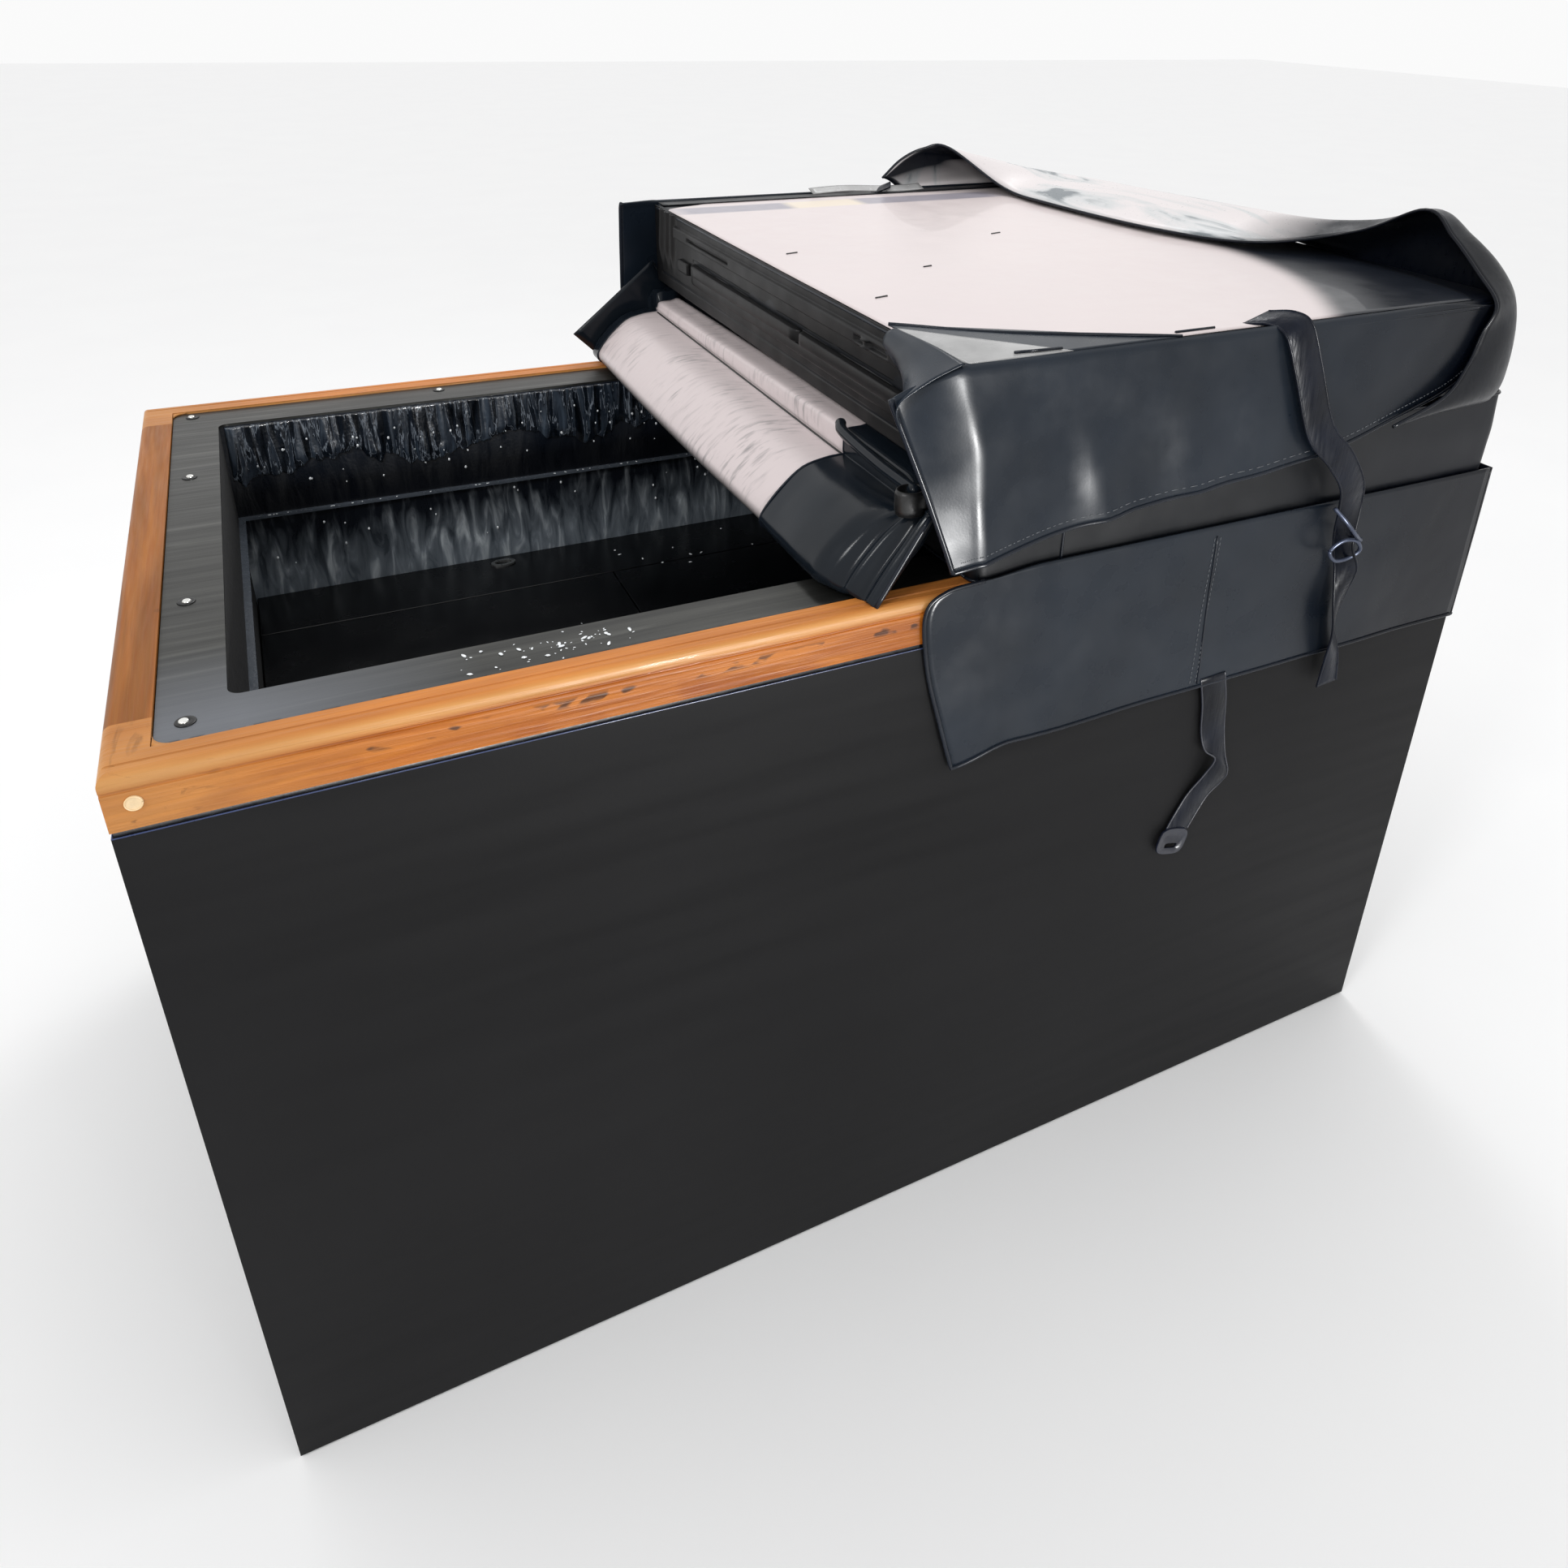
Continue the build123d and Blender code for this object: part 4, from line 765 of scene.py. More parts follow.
def dress_cabinet():
    """Give every carried-over CAD node its finish."""
    dark = tone(30, 30, 31)
    liner = glossy_liner("liner", frosted=False)
    finishes = {
        painted_sheet("panel", dark): ("front_panel", "back_panel", "left_panel", "right_panel"),
        painted_sheet("pan", tone(50, 50, 50), 0.5): ("base_pan",),
        plain_surface("foot", tone(26, 26, 26), 0.6): ("glide_feet", "compressor_grommets"),
        timber("timber_long", "X"): ("rail_front", "rail_back"),
        timber("timber_side", "Y"): ("rail_left", "rail_right"),
        plain_surface("timber_plug", tone(232, 204, 160), 0.4, scale=90): ("rail_plugs",),
        brushed_deck("deck"): ("deck_plate",),
        plain_surface("screw", tone(226, 226, 222), 0.22, metallic=0.6): ("deck_screws",),
        plain_surface("finger_pull", tone(128, 130, 130), 0.3, metallic=0.8): ("finger_pull",),
        liner: (
            "liner_front_wall", "liner_right_wall", "liner_floor", "liner_step", "floor_bearers",
        ),
        plain_surface("liner_side", tone(6, 7, 10), 0.85, scale=60, spread=0.5): ("liner_left_wall",),
        glossy_liner("liner_frosted", frosted=True): ("liner_back_wall",),
        plain_surface("ledge", tone(74, 80, 88), 0.25): ("liner_ledge",),
        black_floor("floor"): ("floor_panel_back", "floor_panel_left", "floor_hatch"),
        plain_surface("foam", tone(226, 208, 158), 0.85, scale=120, depth=0.0008): (
            "insulation_block", "lower_foam_core", "upper_foam_core",
        ),
        plain_surface("copper", tone(196, 120, 86), 0.28, metallic=1.0): (
            "evaporator_tube", "condenser_tube", "refrigerant_pipes", "filter_drier",
        ),
        plain_surface("compressor", tone(24, 24, 25), 0.3): ("compressor",),
        plain_surface("trim_plastic", tone(30, 30, 32), 0.5, scale=160): (
            "start_relay_cover", "vent_grille", "thermostat_housing", "switch_housing", "power_inlet",
        ),
        plain_surface("knob", tone(150, 150, 148), 0.4, scale=120): ("thermostat_knob",),
        plain_surface("rocker", tone(140, 22, 18), 0.25, scale=120): ("power_rocker",),
        plain_surface("drain", tone(186, 186, 182), 0.45, scale=120): ("drain_fitting", "drain_plug"),
    }
    for finish, names in finishes.items():
        for name in names:
            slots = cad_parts[name].data.materials
            slots.clear()
            slots.append(finish)


# ---------------------------------------------------------------- cabinet: pieces that are only seen


def add_screw_rings(finish):
    """Dark rings under the deck screws, each a little off centre."""
    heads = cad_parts["deck_screws"].data.vertices
    z = DECK_HIGH.z
    spots = []
    for vertex in heads:
        spot = Vector((vertex.co.x, vertex.co.y))
        if vertex.co.z > z and not any((spot - other).length < 0.02 for other in spots):
            near = [v.co for v in heads if v.co.z > z and (v.co.xy - spot).length < 0.02]
            spots.append(sum((co.xy for co in near), Vector((0, 0))) / len(near))
    spots.sort(key=lambda spot: (round(spot.x, 3), round(spot.y, 3)))
    points, faces = [], []
    sides = 28
    for index, spot in enumerate(spots):
        shift = Vector((0.0011 * math.cos(index * 2.1), 0.0011 * math.sin(index * 2.1)))
        profile = [(0.0030, 0.0002), (0.0078, 0.0002), (0.0074, 0.0008), (0.0034, 0.0010)]
        base = len(points)
        for radius, lift in profile:
            for side in range(sides):
                angle = 2 * math.pi * side / sides
                x = spot.x + shift.x + radius * math.cos(angle)
                y = spot.y + shift.y + radius * math.sin(angle)
                points.append((x, y, z + lift))
        faces += ring_faces(len(profile), sides, base, wrap=True)
    return place(add_mesh("screw_rings", points, faces, finish), "cabinet", "rubber")


def add_rail_gap_shadow(finish, edge_highlight_finish):
    """A dark strip painted as the shadow in the gap under the timber, and a thin bluish line painted as a
    highlight along the top edge of the panels below it.
    """
    low, high = RAIL_LOW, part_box("rail_back")[1]
    panel_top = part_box("front_panel")[1].z
    rings = []
    edge = []
    for x, y, along, across in corners(low, high):
        def inset(depth, z, x=x, y=y, along=along, across=across):
            return Vector((x + along * depth, y + across * depth, z))
        rings.append([
            inset(0.0018, panel_top + 0.0003), inset(0.0018, RAIL_LOW.z - 0.0003),
            inset(0.0080, RAIL_LOW.z - 0.0003), inset(0.0080, panel_top + 0.0003),
        ])
        edge.append(inset(0.0004, panel_top - 0.0002))
    # painted shadow: a dark strip filling the gap under the timber
    place(add_loft("rail_gap_shadow", [*rings, rings[0]], finish, closed_ends=False), "cabinet", "rubber")
    # painted highlight: thin bluish tubes along the panels' top edge
    runs = [[a.lerp(b, n / 4) for n in range(5)] for a, b in zip(edge, edge[1:] + edge[:1])]
    place(add_tubes("panel_edge_highlight", runs, 0.0006, edge_highlight_finish, sides=8), "cabinet", "panel")


def add_plug_rims(finish):
    """A thin pale rim round each round timber plug of the front rail."""
    low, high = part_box("rail_plugs")
    radius = (high.z - low.z) / 2 - 0.0003
    paths = []
    for x in (low.x + radius, high.x - radius):
        circle = [2 * math.pi * n / 28 for n in range(29)]
        paths.append([
            Vector((x + radius * math.cos(a), low.y, low.z + radius * (1 + math.sin(a)))) for a in circle
        ])
    place(add_tubes("plug_rims", paths, 0.0006, finish, sides=8), "cabinet", "timber")


def add_deck_corners(finish):
    """Small timber fillets that round the four inner corners of the rim over the deck."""
    low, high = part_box("deck_plate")
    radius, top = 0.015, high.z + 0.0022
    for number, (x, y, along, across) in enumerate(corners(low, high)):
        outline = [Vector((x - along * 0.0005, y - across * 0.0005))]
        for step in range(9):
            angle = math.radians(90 * step / 8)
            outline.append(Vector((
                x + along * radius * (1 - math.cos(angle)), y + across * radius * (1 - math.sin(angle)),
            )))
        rings = [[Vector((*spot, z)) for spot in outline] for z in (top - 0.002, top)]
        place(add_loft(f"rim_fillet_{number + 1}", rings, finish), "cabinet", "timber")


def add_frost_curtain(finish):
    """Frozen film hanging from the top of the back wall in uneven folds with a ragged foot."""
    top_z = DECK_LOW.z - 0.001
    left, right = TUB_LEFT_X + 0.006, TUB_RIGHT_X - 0.006
    columns, rows = 520, 26
    grid = []
    for row in range(rows):
        share = row / (rows - 1)
        line = []
        for column in range(columns):
            x = left + (right - left) * column / (columns - 1)
            drop = 0.066 + 0.026 * noise.noise(Vector((x * 9, 3, 0)))
            drop += 0.012 * noise.noise(Vector((x * 38, 7, 0)))
            drop += 0.007 * noise.noise(Vector((x * 120, 1, 0)))
            z = top_z - drop * share
            lean = 0.02 * share * noise.noise(Vector((x * 5, 0, 4)))
            fold = abs(noise.noise(Vector(((x + lean) * 42, z * 5, 0.5))))
            crease = abs(noise.noise(Vector(((x + lean) * 105, z * 16, 2.5))))
            depth = 0.0012 + 0.009 * fold * (0.35 + 0.65 * share) + 0.0034 * crease
            thinner = 1 - 0.55 * smooth_step(share, 0.8, 1.0)
            line.append(Vector((x + lean, BACK_WALL_Y - depth * thinner, z)))
        grid.append(line)
    return place(add_sheet("frost_curtain", grid, 0.0009, finish), "cabinet", "liner")


def blob(centre, size, stretch, turn, rand):
    """Points and faces of one small lump of ice, flattened onto what it lies on."""
    rings, sides = 4, 8
    points = []
    for ring in range(rings + 1):
        angle = math.pi * ring / rings
        for side in range(sides):
            about = 2 * math.pi * side / sides
            radius = size * math.sin(angle) * (0.8 + 0.4 * rand.random())
            along, across = radius * math.cos(about) * stretch, radius * math.sin(about)
            points.append(centre + Vector((
                along * math.cos(turn) - across * math.sin(turn),
                along * math.sin(turn) + across * math.cos(turn),
                0.42 * size * math.cos(angle),
            )))
    return points, ring_faces(rings + 1, sides)


def add_blobs(name, blobs, finish):
    """One piece of many lumps, each with its points and faces."""
    points, faces = [], []
    for more, quads in blobs:
        faces += [tuple(len(points) + corner for corner in quad) for quad in quads]
        points += more
    return place(add_mesh(name, points, faces, finish), "cabinet", "screw")


def add_ice_flecks(finish):
    """Crumbs of ice and drops on the front deck, on the removable floor and on the ledge."""
    rand = random.Random(11)
    spots = []
    front_y = (DECK_LOW.y + TUB_FRONT_Y) / 2
    for _ in range(64):
        x = rand.gauss(-0.372, 0.042)
        y = front_y + rand.gauss(0.0, 0.014)
        if DECK_LOW.y + 0.004 < y < TUB_FRONT_Y - 0.004:
            spots.append((Vector((x, y, DECK_HIGH.z)), rand.choice((0.0005, 0.0007, 0.0009, 0.0016))))
    for _ in range(16):
        spot = Vector((rand.uniform(TUB_LEFT_X + 0.05, -0.19), rand.uniform(-0.28, 0.16), FLOOR_Z))
        spots.append((spot, rand.choice((0.0006, 0.0009))))
    for _ in range(10):
        spots.append((Vector((rand.uniform(-0.16, 0.05), rand.uniform(0.20, 0.30), FLOOR_Z)), 0.0013))
    for _ in range(26):
        spots.append((Vector((rand.uniform(-0.60, 0.0), BACK_WALL_Y - 0.006, LEDGE_Z)), 0.0010))
    blobs = []
    for centre, size in spots:
        raised = centre + Vector((0, 0, 0.3 * size))
        blobs.append(blob(raised, size, rand.uniform(1.0, 2.4), rand.uniform(0, math.pi), rand))
    return add_blobs("ice_flecks", blobs, finish)


def add_hanging_drops(finish):
    """Small drops caught on the strands of frozen film and on the wall below them."""
    rand = random.Random(5)
    blobs = []
    for _ in range(70):
        x = rand.uniform(-0.60, 0.02)
        z = rand.uniform(0.725, 0.80) if rand.random() < 0.7 else rand.uniform(0.62, 0.70)
        depth = 0.011 if z > 0.75 else 0.0015
        size = rand.choice((0.0008, 0.0012, 0.0016))
        more, quads = blob(Vector((x, BACK_WALL_Y - depth, z)), size, 1.0, 0.0, rand)
        blobs.append(([Vector((p.x, p.y, z + (p.z - z) * 3.2)) for p in more], quads))
    return add_blobs("hanging_drops", blobs, finish)


# ---------------------------------------------------------------- cover: lower half


def add_lower_half(dark, seam):
    """The foam panel that lies on the rim, its welts and its front and back seams."""
    low = Vector((LOWER_LOW.x, LOWER_LOW.y + 0.002, LOWER_LOW.z))
    high = Vector((LOWER_HIGH.x - 0.002, LOWER_HIGH.y - 0.002, LOWER_HIGH.z))
    panel = add_padded_slab("lower_panel", low, high, (LOWER_CORNER, LOWER_CORNER), 0.007, 0.0022, dark)
    place(panel, "lid_base", "vinyl", "lower_cover", "lower_film", "lower_foam_core")
    paths = []
    for z in (high.z - 0.0035, low.z + 0.004):
        edge = perimeter(low, high, LOWER_CORNER, LOWER_CORNER, 0.02)
        ring = [Vector((*(point + outward * 0.0006), z)) for point, outward in edge]
        paths.append([*ring, ring[0]])
    seam_x = 0.102
    for y in (low.y - 0.0016, high.y + 0.0016):
        paths.append([Vector((seam_x, y, low.z + 0.004 + 0.1 * n / 12)) for n in range(13)])
    place(add_tubes("lower_welts", paths, 0.0016, seam), "lid_base", "vinyl")


def add_hinge_strip(dark):
    """The vinyl strip that joins the two halves along the fold."""
    low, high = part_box("fold_hinge_strip")
    grid = []
    for row in range(7):
        x = low.x + (high.x - low.x) * row / 6
        grid.append([Vector((x, low.y + (high.y - low.y) * n / 60, (low.z + high.z) / 2)) for n in range(61)])
    strip = place(add_sheet("hinge_strip", grid, 0.0009, dark), "lid_base", "vinyl", "fold_hinge_strip")


def skirt_point(x, drop, side, share_x):
    """A place on a lower side skirt, hanging in shallow waves."""
    wave = 0.0022 * ripple(x * 1.5, side, drop * 2, 6) * smooth_step(drop, 0.0, 0.1)
    flare = 0.0025 * smooth_step(drop, 0.06, 0.2) * hump(share_x, 0.0, 0.18)
    y = side * (LOWER_SKIRT_Y + wave + flare)
    return Vector((x, y, SKIRT_TOP_Z - drop))


def add_lower_side_skirt(side, name, node, dark, seam, stitch):
    """A front or back skirt with a rounded upper corner at the fold, a bead round it and a seam."""
    left_edge = curved(
        [(0.012, 0.006, 0), (-0.030, 0.010, 0), (-0.051, 0.030, 0), (-0.045, 0.090, 0), (-0.027, 0.160, 0),
         (-0.011, 0.213, 0)], 8
    )
    right = LOWER_SKIRT_RIGHT_X
    lower_edge = curved([
        (-0.011, 0.213, 0), (0.015, 0.204, 0), (0.22, 0.200, 0), (0.52, 0.196, 0),
        (right, LOWER_SKIRT_DROP, 0),
    ], 12)
    rows = []
    count = len(left_edge)
    for index, start in enumerate(left_edge):
        share = index / (count - 1)
        row = []
        for step in range(90):
            along = step / 89
            right_drop = LOWER_SKIRT_DROP * share
            bottom = lower_edge[min(len(lower_edge) - 1, int(along * (len(lower_edge) - 1)))]
            x = start.x + (right - start.x) * along
            flat_drop = start.y + (right_drop - start.y) * smooth_step(along, 0.0, 0.10)
            drop = flat_drop + (bottom.y - 0.1975) * share * smooth_step(along, 0.0, 0.2) * 0.5
            row.append(skirt_point(x, drop, side, along))
        rows.append(row)
    skirt = add_sheet(name, rows, SHEET_THICK, dark)
    place(skirt, "lid_base", "vinyl", node)
    border = [row[0] for row in rows] + rows[-1][1:]
    out = Vector((0, side * 0.0006, 0))
    bead = add_tube(name + "_bead", [point + out for point in border], 0.0021, seam)
    place(bead, "lid_base", "vinyl")
    proud = Vector((0, side * 0.0013, 0))
    seam_path = [
        skirt_point(0.297 + 0.0004 * n, 0.012 + 0.182 * n / 20, side, 0.4) + proud for n in range(21)
    ]
    line = add_tube(name + "_seam", seam_path, 0.0010, seam)
    place(line, "lid_base", "vinyl")
    lifted = Vector((0, side * 0.0012, 0))
    thread = []
    for offset in (-0.004, 0.004):
        for n in range(30):
            drop = 0.014 + n * 0.006
            ends = (drop, drop + 0.0035)
            thread.append([skirt_point(0.298 + offset, end, side, 0.4) + lifted for end in ends])
    place(add_tubes(name + "_stitches", thread, 0.0004, stitch, sides=6), "lid_base", "webbing")


def add_lower_end_skirt(dark, seam):
    """The skirt over the right end, with a hem."""
    low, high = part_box("lower_skirt_end")
    x = high.x - 0.0012
    grid = []
    for row in range(24):
        share = row / 23
        z = high.z - (high.z - low.z) * share
        line = []
        for n in range(100):
            y = -0.4290 + 0.858 * n / 99
            wave = 0.0016 * ripple(1, y, z, 7) * share
            line.append(Vector((x + wave, y, z)))
        grid.append(line)
    skirt = add_sheet("lower_skirt_end_sheet", grid, SHEET_THICK, dark)
    place(skirt, "lid_base", "vinyl", "lower_skirt_end")
    hem = add_tube("lower_skirt_end_hem", [p + Vector((0.0004, 0, 0)) for p in grid[-1]], 0.0021, seam)
    place(hem, "lid_base", "vinyl")


def add_lower_strap(side, name, finish, metal, *nodes):
    """A limp strap under the lower skirt with a kink half way and a slotted end tab."""
    y = side * 0.4300
    out = Vector((0, side, 0))

    def station(x, z, lean, bulge=0.0):
        half = Vector((0.0170 * math.cos(lean), 0, 0.0170 * math.sin(lean)))
        return Vector((x, y, z)) + out * bulge, half

    stations = [
        station(0.327, 0.656, 0.05), station(0.336, 0.620, 0.05), station(0.342, 0.580, 0.0),
        station(0.348, 0.550, -0.35, 0.004), station(0.358, 0.530, -0.80, 0.008),
        station(0.352, 0.510, -0.55, 0.004), station(0.337, 0.488, -0.35),
        station(0.322, 0.462, -0.32), station(0.314, 0.446, -0.28),
    ]
    strap = add_ribbon(name, stations, 0.0018, finish)
    place(strap, "lid_base", "webbing", *nodes)
    place(add_ribbon_edges(name + "_edges", stations, 0.0012, metal), "lid_base", "webbing")
    centre = Vector((0.308, y + side * 0.0012, 0.431))
    outer, inner = [], []
    for step in range(40):
        angle = 2 * math.pi * step / 40
        c, s = math.cos(angle), math.sin(angle)
        outer.append((rounded(c, 0.6) * 0.0215, rounded(s, 0.6) * 0.0180))
        inner.append((rounded(c, 0.5) * 0.0100, rounded(s, 0.5) * 0.0038 - 0.006))
    lean = -0.28

    def turned(u, v, lift):
        return centre + Vector((
            u * math.cos(lean) - v * math.sin(lean), side * lift, u * math.sin(lean) + v * math.cos(lean),
        ))

    rings = [
        [turned(u, v, 0.0016) for u, v in outer], [turned(u * 1.03, v * 1.03, 0.0) for u, v in outer],
        [turned(u, v, -0.0014) for u, v in outer], [turned(u, v, -0.0014) for u, v in inner],
        [turned(u, v, 0.0016) for u, v in inner], [turned(u, v, 0.0016) for u, v in outer],
    ]
    tab = add_loft(name + "_tab", rings[:-1] + [rings[0]], metal, closed_ends=False)
    place(tab, "lid_base", "webbing")


# ---------------------------------------------------------------- cover: bolster under the fold


BOLSTER_SECTION = [
    (-0.004, 0.929), (-0.020, 0.9300), (-0.036, 0.929), (-0.0395, 0.922), (-0.0405, 0.907),
    (-0.0400, 0.9030), (-0.046, 0.9025), (-0.062, 0.9010), (-0.086, 0.8945), (-0.108, 0.8770),
    (-0.125, 0.8580), (-0.131, 0.8450), (-0.124, 0.8350), (-0.100, 0.8322), (-0.055, 0.8340),
    (-0.022, 0.846), (-0.004, 0.880),
]


def bolster_ring(y, swell, scale=1.0):
    """The bolster's section at a depth, scaled about its middle and swollen towards its nose."""
    middle = Vector((-0.062, 0.870))
    ring = []
    for x, z in BOLSTER_SECTION:
        point = Vector((x, z)) - middle
        reach = smooth_step(-x, 0.03, 0.12)
        grown = middle + point * (scale + swell * reach)
        ring.append((grown.x, y, grown.y))
    return closed_curve(ring, 4)


def add_bolster(white, dark, seam, groove):
    """The soft roll that seals the fold: a white sleeve between two dark boots."""
    sleeve_low, sleeve_high = -0.231, 0.397
    rings = []
    for step in range(48):
        share = step / 47
        y = sleeve_low + (sleeve_high - sleeve_low) * share
        crown = 0.05 * math.sin(math.pi * share)
        ring = bolster_ring(y, crown)
        rings.append([
            point + Vector((-1, 0, 1)).normalized() * 0.0006 * ripple(point.x, point.y, point.z, 14)
            - Vector((0, 0, 0.013)) * share * smooth_step(point.z, 0.904, 0.926) for point in ring
        ])
    sleeve = add_loft("bolster_sleeve", rings, white)
    place(sleeve, "lid_base", "white_vinyl", "hinge_bolster")
    squeeze(sleeve)

    top, foot = Vector((-0.046, 0.910)), Vector((-0.098, 0.829))
    fin = (foot - top).normalized()
    rings = []
    for step in range(90):
        share = step / 89
        y = sleeve_low + 0.004 - share * 0.192
        pinch = 0.93 * smooth_step(share, 0.66, 1.0)
        moved = []
        for point in bolster_ring(y, 0.035 + 0.02 * math.sin(math.pi * share), scale=1.004):
            flat = Vector((point.x, point.z))
            along = min(max((flat - top).dot(fin), 0.0), (foot - top).length)
            flat = flat.lerp(top + fin * along, pinch)
            pucker = 0.0012 * ripple(point.x * 1.4, point.y, point.z * 1.4, 16)
            pucker += 0.0026 * math.sin((share - 0.74) * 62) * smooth_step(share, 0.74, 0.84)
            moved.append(Vector((flat.x - pucker, point.y, flat.y + pucker)))
        rings.append(moved)
    boot = add_loft("bolster_boot_front", rings, dark)
    place(boot, "lid_base", "vinyl", "bolster_boots")
    squeeze(boot)

    seam_y = sleeve_low + 0.004 - 0.192
    end_seam = [Vector((spot.x, seam_y, spot.y)) for spot in (top.lerp(foot, n / 10) for n in range(11))]
    end_welt = place(add_tube("boot_end_welt", end_seam, 0.0024, seam), "lid_base", "vinyl")
    squeeze(end_welt)

    rings = []
    for step in range(12):
        share = step / 11
        y = sleeve_high - 0.004 + share * 0.034
        rings.append(bolster_ring(y, 0.02, scale=1.006 - 0.25 * smooth_step(share, 0.75, 1.0)))
    far_boot = add_loft("bolster_boot_back", rings, dark)
    place(far_boot, "lid_base", "vinyl")
    squeeze(far_boot)

    paths = [[Vector((-0.0425, y / 1000, 0.9035)) for y in range(-228, 396, 12)]]
    line = add_tubes("bolster_groove", paths, 0.0011, groove)
    place(line, "lid_base", "vinyl")
    squeeze(line)
    ring = bolster_ring(sleeve_low + 0.002, 0.037, scale=1.008)
    welt = add_tubes("boot_welt", [[*ring, ring[0]]], 0.0012, seam)
    place(welt, "lid_base", "vinyl")
    squeeze(welt)


# ---------------------------------------------------------------- cover: upper half


def channel_height(y, z):
    """How far the fold face stands out at a place: channels, grooves, pockets and pleats."""
    height = 0.0006 * ripple(0, y, z, 30)
    near, far = -0.335, 0.255

    def run(low, high, low_z, high_z, soft=0.0008):
        along = plateau(y, low, high, 0.004)
        return along * plateau(z, low_z, high_z, soft)

    height += (0.0016 + 0.0012 * ripple(4, y, z, 150)) * run(near + 0.02, far + 0.012, 0.969, 0.983)
    height -= 0.0035 * run(-0.40, 0.262, 0.9985, 1.002)
    height -= 0.0016 * run(-0.39, 0.40, 0.957, 0.960)
    height += 0.0060 * run(-0.36, 0.33, 1.020, 1.0345, 0.0014)
    height -= 0.0052 * run(0.12, 0.27, 1.0245, 1.0295)
    height -= 0.0040 * run(-0.300, -0.235, 1.0235, 1.0300)
    height += 0.0050 * run(-0.262, -0.250, 1.0225, 1.0310)
    height -= 0.0040 * run(-0.400, -0.318, 0.9600, 1.0150, 0.004) * run(-0.396, -0.322, 0.964, 1.011, 0.004)
    for pleat in (0.345, 0.368, 0.392):
        height += 0.0060 * hump(y + 0.15 * (z - 1.0), pleat, 0.0065) * smooth_step(z, 0.962, 1.0)
    return height


BAR_SECTION = [
    (0, 0), (0.8, 0), (0.94, 0.04), (1, 0.14), (1, 0.5), (1, 0.84), (0.94, 0.96), (0.8, 1), (0.4, 1), (0, 1),
]


def add_fold_face(finish):
    """The end face at the fold, with its moulded channels and four bars."""
    low_y, high_y = -SIDE_Y + 0.002, SIDE_Y - 0.002
    low_z, high_z = UPPER_LOW_Z + 0.0005, UPPER_HIGH_Z - 0.001
    columns, rows = 460, 132
    grid = []
    for row in range(rows):
        z = low_z + (high_z - low_z) * row / (rows - 1)
        line = []
        for column in range(columns):
            y = low_y + (high_y - low_y) * column / (columns - 1)
            line.append(Vector((FOLD_X - 0.0012 - max(-0.004, channel_height(y, z)), y, z)))
        grid.append(line)
    face = add_sheet("fold_face", grid, 0.0008, finish)
    place(face, "lid_fold", "vinyl", "upper_end_channels")
    bars = [
        (-0.335, -0.100, 0.984, 0.998, 0.0100), (-0.094, 0.255, 0.984, 0.998, 0.0100),
        (-0.352, 0.268, 0.9705, 0.982, 0.0045), (0.275, 0.312, 0.978, 0.994, 0.0060),
    ]
    for number, (near, far, low, high, out) in enumerate(bars):
        rings = []
        for step in range(41):
            y = near + (far - near) * step / 40
            sag = 0.0008 * ripple(1, y, low, 9)
            ends = 1 - 0.5 * (step in (0, 40))
            rings.append([
                Vector((FOLD_X - 0.0010 - along * out * ends, y, low + (high - low) * up + sag))
                for along, up in BAR_SECTION
            ])
        place(add_loft(f"fold_bar_{number + 1}", rings, finish), "lid_fold", "vinyl")


def add_upper_panel(dark, seam):
    """The foam panel of the folded half and its welt."""
    low = Vector((FOLD_X, -SIDE_Y + 0.002, UPPER_LOW_Z))
    high = Vector((RIGHT_X - 0.016, SIDE_Y - 0.002, UPPER_HIGH_Z - 0.0006))
    panel = add_padded_slab("upper_panel", low, high, UPPER_CORNERS, 0.006, 0.0012, dark)
    place(panel, "lid_fold", "vinyl", "upper_cover", "upper_foam_core")
    edge = perimeter(low, high, *UPPER_CORNERS, 0.02)
    ring = [Vector((*(point + outward * 0.0008), high.z - 0.004)) for point, outward in edge]
    place(add_tubes("upper_welt", [[*ring, ring[0]]], 0.0018, seam), "lid_fold", "vinyl")


FILM_RIGHT = [
    (0.625, -0.416), (0.642, -0.385), (0.655, -0.335), (0.663, -0.275), (0.666, -0.190), (0.666, -0.100),
]


FILM_SLOTS = [(0.021, 0.045, 0.008), (0.325, 0.072, 0.008), (0.140, -0.072, 0.006), (0.022, -0.183, 0.008)]
FILM_SLOT_TURN = 0.25


def film_right_edge(y):
    """The film's curved right edge at a depth."""
    edge = curved([(x, at, 0) for x, at in FILM_RIGHT], 10)
    for before, after in zip(edge, edge[1:]):
        if before.y <= y <= after.y:
            share = (y - before.y) / max(1e-9, after.y - before.y)
            return before.x + (after.x - before.x) * share
    return edge[0].x if y < edge[0].y else edge[-1].x


def add_film(finish, slot_finish):
    """The white film under the folded half, which now faces up, with its small slots."""
    low_y, high_y = -0.416, 0.402
    z = UPPER_HIGH_Z - 0.0006
    grid = []
    for row in range(90):
        y = low_y + (high_y - low_y) * row / 89
        cut = 0.021 + 0.14 * smooth_step(-y, 0.30, 0.416)
        left = FOLD_X + cut - 0.021
        back = smooth_step(y, 0.36, 0.402)
        left += 0.07 * back**2
        right = film_right_edge(y)
        line = []
        for column in range(90):
            x = left + (right - left) * column / 89
            rise = 0.0005 + 0.0005 * ripple(x, y, 0, 6)
            line.append(Vector((x, y, z + max(0.0002, rise))))
        grid.append(line)
    sheet = add_sheet("film_sheet", grid, 0.0008, finish)
    place(sheet, "lid_fold", "film", "upper_film")
    slots = []
    across, deep = math.cos(FILM_SLOT_TURN), math.sin(FILM_SLOT_TURN)
    for x, y, half in FILM_SLOTS:
        slots.append([Vector((x + half * t * across, y + half * t * deep, z + 0.0012)) for t in (-1, 0, 1)])
    place(add_tubes("film_slots", slots, 0.0011, slot_finish, sides=8), "lid_fold", "vinyl")


